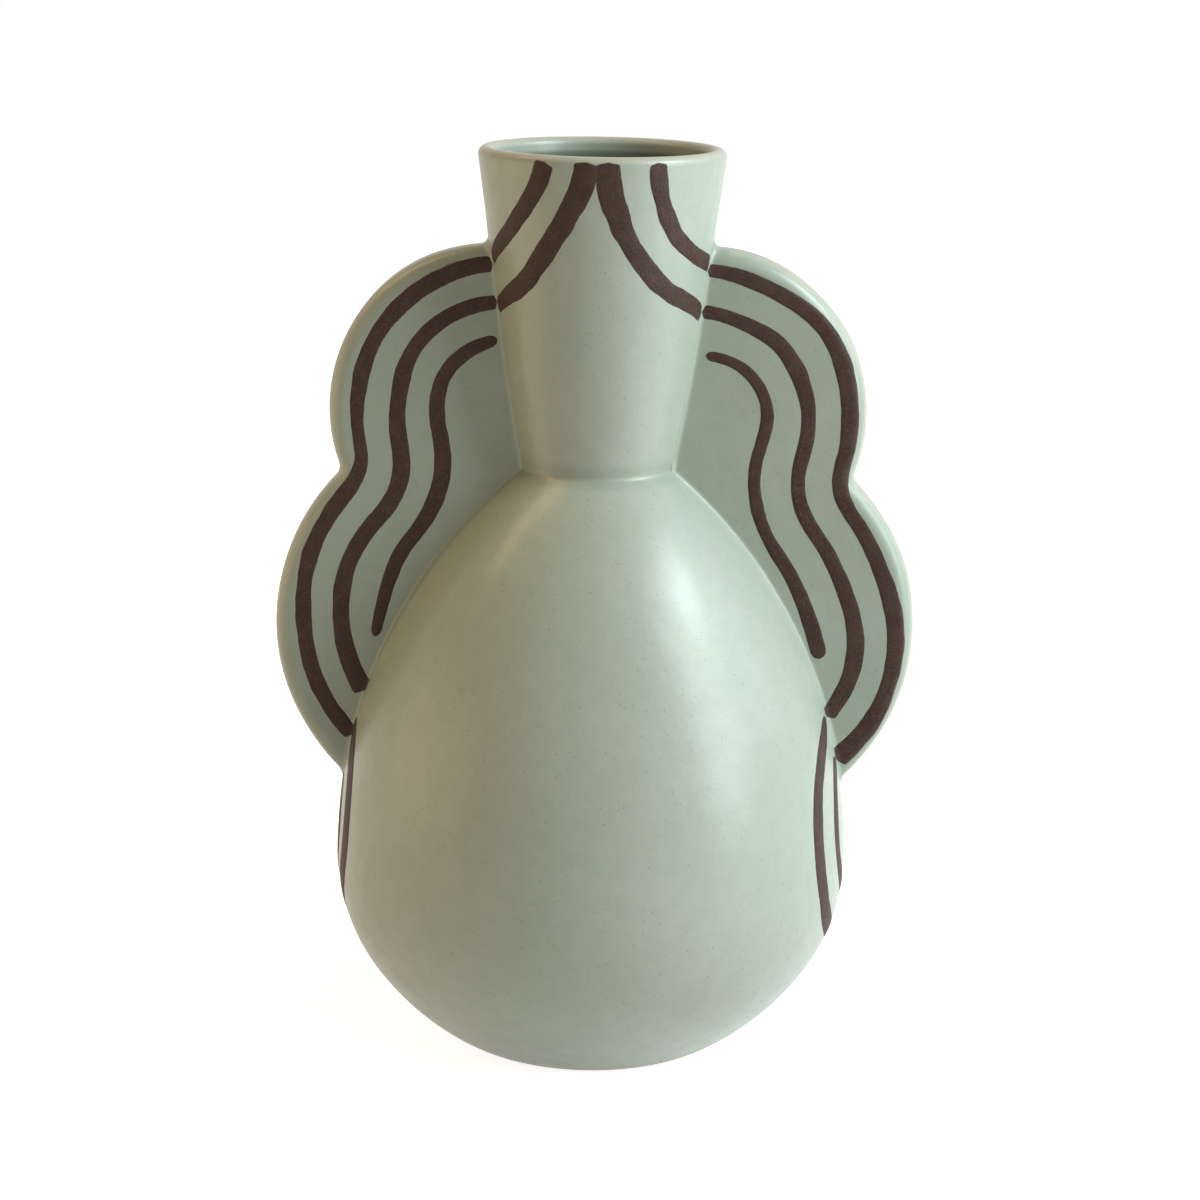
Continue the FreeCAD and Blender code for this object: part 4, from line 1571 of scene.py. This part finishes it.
@dataclass(frozen=True)
class SageGlaze:
    """A satin sage glaze, breaking to tan where thin and pooling green where deep, with painted
    shade on the wing faces and inside.
    """

    body: Colour = (0.302, 0.333, 0.258, 1.0)
    cloud: Colour = (0.330, 0.352, 0.280, 1.0)
    thin: Colour = (0.40, 0.385, 0.295, 1.0)
    # deep glaze in pools and mottling, and also painted shade on the wing faces and inside
    thick: Colour = (0.205, 0.242, 0.176, 1.0)
    # painted shade: the darkest colour, laid down the inside of the neck and body
    inside: Colour = (0.080, 0.100, 0.064, 1.0)
    iron: Colour = (0.16, 0.13, 0.09, 1.0)
    bare_clay: Colour = (0.42, 0.33, 0.24, 1.0)
    roughness: float = 0.44
    specular: float = 0.32
    coat: float = 0.28
    coat_inside: float = 0.12
    coat_roughness: float = 0.26
    coat_ior: float = 1.7
    mottle_roughness: float = 0.08
    bare_roughness: float = 0.35
    inside_roughness: float = 0.4
    speckle_amount: float = 0.55
    mottle_amount: float = 0.12
    # how much of the deep colour shows for pooling and for painted shade
    pool_amount: float = 0.4
    thin_mottle: float = 0.35
    thin_range: Pair = (0.55, 1.25)
    thin_amount: float = 0.85
    bare_edge: Pair = (0.0019, 0.0014)
    grain_relief: float = 0.5
    pinhole_relief: float = -1.6
    bump_strength: float = 0.36
    bump_distance: float = 0.00018

    def make(self, speckle: Tree, grain: Tree) -> Material:
        """The glaze's material.

        Args:
            speckle: the group of specks and pinholes.
            grain: the group of grain, mottling and patches.

        Returns:
            The material, which reads the attributes thin and pool.
        """
        material, tree, shader = new_material(
            "sage_glaze", Specular_IOR_Level=self.specular, Coat_Roughness=self.coat_roughness,
            Coat_IOR=self.coat_ior)
        vector = object_place(tree)
        fine = use_group(tree, grain, Vector=vector)
        dots = use_group(tree, speckle, Vector=vector, Amount=self.speckle_amount)
        pool, bare = attribute(tree, "pool"), self.bare_foot(tree, vector, fine["Patches"])
        colour = self.clouded(tree, fine, pool)
        for mask, tint in ((dots["Specks"], self.iron), (dots["Pinholes"], self.iron),
                           (bare, self.bare_clay)):
            colour = mix_node(tree, mask, colour, tint)
        feed(tree, shader["Base Color"], colour)

        inside = (GLAZED_POOL, INSIDE_SHADE_LEVEL)
        gloss = range_node(tree, pool, *inside, 1.0, self.coat_inside)
        feed(tree, shader["Coat Weight"], math_node(tree, "MULTIPLY", gloss, self.coat))
        rough = math_node(tree, "MULTIPLY_ADD", fine["Mottle"], self.mottle_roughness,
                          self.roughness)
        rough = math_node(tree, "MULTIPLY_ADD", bare, self.bare_roughness, rough)
        dry = range_node(tree, pool, *inside, 0.0, self.inside_roughness)
        feed(tree, shader["Roughness"], math_node(tree, "ADD", rough, dry))

        relief = math_node(tree, "MULTIPLY_ADD", fine["Grain"], self.grain_relief,
                           fine["Mottle"])
        relief = math_node(tree, "MULTIPLY_ADD", dots["Pinholes"], self.pinhole_relief, relief)
        feed(tree, shader["Normal"],
             bump_normal(tree, relief, self.bump_strength, self.bump_distance))
        return material

    def clouded(self, tree: Tree, fine: dict[str, Socket], pool: Socket) -> Socket:
        """The glaze's colour before its specks.

        It is clouded in patches and mottled, darker where it pools, darker again with painted
        shade on the wing faces, darkest with painted shade down the inside, and tan where it is
        thin, more so where the mottling is strong.

        Args:
            tree: the material's node tree.
            fine: the grain group's outputs.
            pool: how deep the glaze pools, and the painted shade on the wing faces and inside.

        Returns:
            The colour.
        """
        mottle, thin = fine["Mottle"], attribute(tree, "thin")
        shade = range_node(tree, mottle, 0.0, 1.0, 0.0, self.mottle_amount)
        # the deep colour is pooling at creases and joints and painted shade on the wing faces and
        # inside; the inside colour then paints darker shade down the inside
        pooled_and_shaded = math_node(tree, "MULTIPLY", pool, self.pool_amount)
        inside = range_node(tree, pool, GLAZED_POOL, INSIDE_SHADE_LEVEL)
        broken = math_node(tree, "MULTIPLY_ADD", mottle, self.thin_mottle, thin)
        broken = range_node(tree, broken, *self.thin_range, 0.0, self.thin_amount)
        colour = mix_node(tree, fine["Patches"], self.body, self.cloud)
        for mask, tint in ((shade, self.thick), (pooled_and_shaded, self.thick), (inside, self.inside),
                           (broken, self.thin)):
            colour = mix_node(tree, mask, colour, tint)
        return colour

    def bare_foot(self, tree: Tree, vector: Socket, patches: Socket) -> Socket:
        """1 on the foot's lowest edge, where the glaze is wiped off along a wandering line.

        Args:
            tree: the material's node tree.
            vector: Object coordinates.
            patches: slow noise that makes the line wander.

        Returns:
            The mask.
        """
        wander = 0.0009
        parts = tree.nodes.new("ShaderNodeSeparateXYZ")
        feed(tree, parts.inputs[0], vector)
        height = math_node(tree, "MULTIPLY_ADD", patches, wander, parts.outputs["Z"])
        return range_node(tree, height, *self.bare_edge)


@dataclass(frozen=True)
class BrownSlip:
    """A dry brown slip, streaked by the brush, worn in spots and haloed at its sides."""

    body: Colour = (0.033, 0.0135, 0.0065, 1.0)
    worn: Colour = (0.054, 0.028, 0.018, 1.0)
    halo: Colour = (0.090, 0.068, 0.046, 1.0)
    spot: Colour = (0.085, 0.058, 0.044, 1.0)
    roughness: float = 0.55
    streak_roughness: float = 0.22
    specular: float = 0.24
    speckle_amount: float = 0.5
    streak_stretch: float = 0.12
    worn_mottle: float = 0.45
    worn_range: Pair = (0.45, 1.1)
    worn_amount: float = 0.9
    spot_range: Pair = (0.5, 0.75)
    spot_amount: float = 0.6
    halo_mottle: float = 0.12
    halo_range: Pair = (0.90, 1.10)
    halo_amount: float = 0.8
    grain_relief: float = 0.5
    bump_strength: float = 0.4
    bump_distance: float = 0.00015

    def make(self, speckle: Tree, grain: Tree) -> Material:
        """The slip's material.

        Args:
            speckle: the group of specks and pinholes.
            grain: the group of grain, mottling and patches.

        Returns:
            The material, which reads the UV map brush and the attribute across.
        """
        material, tree, shader = new_material("brown_slip", Specular_IOR_Level=self.specular)
        vector = object_place(tree)
        fine = use_group(tree, grain, Vector=vector)
        dots = use_group(tree, speckle, Vector=vector, Amount=self.speckle_amount)
        streak, mottle = self.streak(tree), fine["Mottle"]
        worn = math_node(tree, "MULTIPLY_ADD", mottle, self.worn_mottle, streak)
        worn = range_node(tree, worn, *self.worn_range, 0.0, self.worn_amount)
        spots = range_node(tree, fine["Grain"], *self.spot_range, 0.0, self.spot_amount)
        halo = math_node(tree, "MULTIPLY_ADD", mottle, self.halo_mottle,
                         attribute(tree, "across"))
        halo = range_node(tree, halo, *self.halo_range, 0.0, self.halo_amount)
        colour = self.body
        for mask, tint in ((worn, self.worn), (spots, self.spot), (halo, self.halo),
                           (dots["Specks"], self.spot)):
            colour = mix_node(tree, mask, colour, tint)
        feed(tree, shader["Base Color"], colour)
        feed(tree, shader["Roughness"],
             math_node(tree, "MULTIPLY_ADD", streak, self.streak_roughness, self.roughness))
        relief = math_node(tree, "MULTIPLY_ADD", fine["Grain"], self.grain_relief, streak)
        feed(tree, shader["Normal"],
             bump_normal(tree, relief, self.bump_strength, self.bump_distance))
        return material

    def streak(self, tree: Tree) -> Socket:
        """Noise drawn out along the stroke, as the brush's hairs leave it.

        Args:
            tree: the material's node tree.

        Returns:
            The noise, about 0 to 1.
        """
        brush = tree.nodes.new("ShaderNodeUVMap")
        brush.uv_map = "brush"
        stretch = tree.nodes.new("ShaderNodeMapping")
        feed(tree, stretch.inputs["Scale"], (1.0, self.streak_stretch, 1.0))
        feed(tree, stretch.inputs["Vector"], brush.outputs[0])
        return noise_node(tree, stretch.outputs[0], 1300.0, 3.0, 0.55)


# The studio


@dataclass(frozen=True)
class Lamp:
    """A rectangular lamp that faces the middle of the vase: place, size, watts and colour."""

    name: str
    place: Triple
    size: Pair
    power: float
    colour: Triple

    def add(self, target: Vector) -> None:
        """Hang the lamp.

        Args:
            target: the place that it faces.
        """
        data = bpy.data.lights.new(self.name, "AREA")
        data.shape = "RECTANGLE"
        data.size, data.size_y = self.size
        data.energy, data.color = self.power, self.colour
        lamp = bpy.data.objects.new(self.name, data)
        bpy.context.scene.collection.objects.link(lamp)
        place_at = Vector(self.place)
        turn = (target - place_at).to_track_quat("-Z", "Y")
        lamp.matrix_world = Matrix.Translation(place_at) @ turn.to_matrix().to_4x4()


# three cool lamps at the right and two weak warm ones at the left
LAMPS = (
    Lamp("right_window", (1.005, -0.47, 0.68), (0.5, 1.3), 17.5, (0.82, 0.94, 1.0)),
    Lamp("upper_pane", (0.93, -0.20, 1.02), (0.34, 0.34), 6.5, (0.78, 0.93, 1.0)),
    Lamp("side_window", (1.10, 0.05, 0.70), (0.5, 0.9), 4.5, (0.66, 0.83, 1.0)),
    Lamp("left_fill", (-0.85, -0.14, 0.22), (0.7, 0.4), 1.7, (1.0, 0.73, 0.44)),
    Lamp("left_strip", (-0.60, 0.06, 0.96), (0.12, 0.55), 2.1, (1.0, 0.70, 0.38)),
)


@dataclass
class Studio:
    """A white studio: floor, soft lamps, white surroundings and the camera, in metres."""

    lamps: tuple[Lamp, ...] = LAMPS
    vase_middle: Triple = (0.0, 0.0, 0.15)
    camera_place: Triple = (0.0, -1.0, 0.39249)
    camera_aim: Triple = (0.0017, 0.0, 0.15215)
    camera_roll: float = 1.0
    focal_pixels: float = 3031.0
    image_width: float = 1200.0
    sensor: float = 36.0
    clip: Pair = (0.05, 20.0)
    room_light: Colour = (0.180, 0.142, 0.088, 1.0)
    floor_colour: Colour = (0.75, 0.75, 0.74, 1.0)
    floor_half: float = 3.0
    floor_gap: float = 0.0002
    glow_reach: Pair = (0.15, 0.75)
    glow_levels: Pair = (0.84, 1.0)

    def add_camera(self) -> None:
        """The camera, looking at its aim and turned by its roll."""
        data = bpy.data.cameras.new("camera")
        data.sensor_width = self.sensor
        data.lens = self.focal_pixels / self.image_width * self.sensor
        data.clip_start, data.clip_end = self.clip
        camera = bpy.data.objects.new("camera", data)
        bpy.context.scene.collection.objects.link(camera)
        place_at, aim = Vector(self.camera_place), Vector(self.camera_aim)
        turn = (aim - place_at).to_track_quat("-Z", "Y").to_matrix().to_4x4()
        roll = Matrix.Rotation(math.radians(self.camera_roll), 4, "Z")
        camera.matrix_world = Matrix.Translation(place_at) @ turn @ roll
        bpy.context.scene.camera = camera

    def seen_directly(self, tree: Tree) -> Socket:
        """1 for rays from the camera, from gloss and through glass.

        Args:
            tree: the node tree.

        Returns:
            The mask.
        """
        path = tree.nodes.new("ShaderNodeLightPath").outputs
        either = math_node(tree, "MAXIMUM", path["Is Camera Ray"], path["Is Glossy Ray"])
        return math_node(tree, "MAXIMUM", either, path["Is Transmission Ray"])

    def add_world(self) -> None:
        """White where it is seen, and dim and warm where it lights."""
        world = bpy.data.worlds.new("white_surroundings")
        bpy.context.scene.world = world
        world.use_nodes = True
        tree = world.node_tree
        back = next(n for n in tree.nodes if n.bl_idname == "ShaderNodeBackground")
        back.inputs["Strength"].default_value = 1.0
        colour = mix_node(tree, self.seen_directly(tree), self.room_light, WHITE)
        feed(tree, back.inputs["Color"], colour)

    def add_floor(self) -> None:
        """A pale floor that keeps the vase's shadow.

        Where it is seen directly it glows, from glow_levels[0] near the vase to white further
        off, so its far part is as white as the surroundings.
        """
        half = self.floor_half
        mesh = bpy.data.meshes.new("floor")
        mesh.from_pydata([(-half, -half, 0), (half, -half, 0), (half, half, 0), (-half, half, 0)],
                         [], [(0, 1, 2, 3)])
        floor = bpy.data.objects.new("floor", mesh)
        bpy.context.scene.collection.objects.link(floor)
        floor.location.z = -self.floor_gap
        material, tree, shader = new_material("pale_floor", Base_Color=self.floor_colour,
                                              Roughness=0.9, Emission_Color=WHITE)
        away = tree.nodes.new("ShaderNodeVectorMath")
        away.operation = "LENGTH"
        feed(tree, away.inputs[0], object_place(tree))
        glow = range_node(tree, away.outputs["Value"], *self.glow_reach, *self.glow_levels)
        glow = math_node(tree, "MULTIPLY", glow, self.seen_directly(tree))
        feed(tree, shader["Emission Strength"], glow)
        floor.data.materials.append(material)

    def add(self) -> None:
        """Set up the studio."""
        bpy.context.scene.view_settings.view_transform = "Standard"
        self.add_camera()
        for lamp in self.lamps:
            lamp.add(Vector(self.vase_middle))
        self.add_world()
        self.add_floor()


# The stripes as they were painted


LEFT_LINES = (
    LobeLine("outer", (5.7, 7.8, 8.7, 9.9, 9.0, 6.6, 5.9, 7.3, 9.9, 11.3, 12.7), 94.0, -48.0,
             (0.95, 1.05, 1.0, 0.82, 1.02, 0.97, 1.05, 1.0)),
    LobeLine("middle", (18.3, 20.3, 21.8, 23.9, 22.3, 20.9, 19.7, 20.7, 22.8, 24.0, 25.2),
             96.0, -36.0, (0.8, 0.97, 1.05, 1.1, 1.08, 1.0, 1.0, 1.2)),
    LobeLine("inner", (30.8, 33.2, 34.2, 36.4, 36.0, 33.9, 32.8, 34.4, 35.2, 35.4, 34.0),
             92.0, -5.5, (0.72, 0.95, 1.0, 1.02, 1.0, 0.97, 0.86, 0.66), 0.5, 0.6),
)
RIGHT_LINES = (
    LobeLine("outer", (7.1, 7.9, 5.9, 6.6, 5.8, 6.0, 8.0, 8.5, 6.2, 5.9, 8.0), 94.0, -50.0,
             (0.85, 0.98, 1.08, 1.05, 0.95, 1.04, 1.1, 1.2)),
    LobeLine("middle", (20.1, 22.0, 20.5, 19.9, 19.5, 20.2, 21.6, 22.2, 20.5, 19.1, 19.7),
             96.0, -33.5, (0.85, 1.0, 1.0, 0.95, 0.92, 1.0, 1.12, 1.05), 0.3),
    LobeLine("inner", (35.0, 34.8, 34.5, 33.9, 33.6, 34.2, 36.2, 37.0, 36.4, 34.4, 31.0),
             88.0, -12.5, (0.62, 0.75, 0.8, 0.8, 0.85, 0.95, 1.1), 0.5, 0.7),
)
NECK_LINES = (
    NeckLine(Side.LEFT, "outer", ((-26.9, 303.0), (-29.4, 297.5), (-36.2, 290.0), (-51.0, 279.0),
                                  (-75.5, 268.4)), (1.24, 1.18, 1.10, 0.97)),
    NeckLine(Side.LEFT, "inner", ((-7.6, 303.4), (-8.4, 297.0), (-12.4, 291.5), (-19.4, 282.5),
                                  (-31.4, 270.6), (-44.5, 261.8), (-75.5, 252.8)),
             (1.46, 1.42, 1.40, 1.30, 1.2, 1.02)),
    NeckLine(Side.RIGHT, "inner", ((2.2, 303.4), (2.4, 297.0), (4.9, 291.0), (9.8, 282.6),
                                   (13.6, 277.6), (25.0, 267.6), (38.0, 260.4), (75.5, 251.6)),
             (1.5, 1.40, 1.24, 1.2, 1.12, 1.05)),
    NeckLine(Side.RIGHT, "outer", ((26.6, 303.3), (26.9, 297.5), (29.6, 290.0), (34.4, 283.2),
                                   (41.5, 277.0), (58.0, 270.9), (76.0, 267.6)),
             (1.10, 1.17, 1.08, 1.02)),
)
RINGS = (
    Ring(Side.RIGHT, "outer", (-4.0, 78.0), (38.0, 38.5), (12.5, 24.5), 1.38, 1.6),
    Ring(Side.RIGHT, "inner", (-3.0, 79.0), (21.5, 24.0), (24.0, 42.0), 1.2),
    Ring(Side.LEFT, "outer", (10.5, 78.4), (37.6, 37.0), (28.0, 6.5), 1.58, 1.5),
    Ring(Side.LEFT, "inner", (8.3, 76.0), (22.2, 24.0), (48.0, 12.0), 1.1),
)


def main() -> None:
    """Build the vase, dress it and set up the studio."""
    logging.basicConfig(level=logging.INFO, format="%(name)s: %(message)s")
    speckle, grain = make_speckle_group(), make_grain_group()
    glaze = SageGlaze().make(speckle, grain)
    slip = BrownSlip().make(speckle, grain)
    vessel = Vessel()
    vessel.add(glaze)
    for side, lines in ((Side.RIGHT, RIGHT_LINES), (Side.LEFT, LEFT_LINES)):
        wing = Wing(vessel, side)
        wing.add(glaze)
        WingStripes(wing, {Face.FRONT: lines, Face.BACK: lines}).add(slip)
    VesselStripes(vessel, {Face.FRONT: NECK_LINES, Face.BACK: NECK_LINES}, RINGS).add(slip)
    Studio().add()


if __name__ == "__main__":
    main()
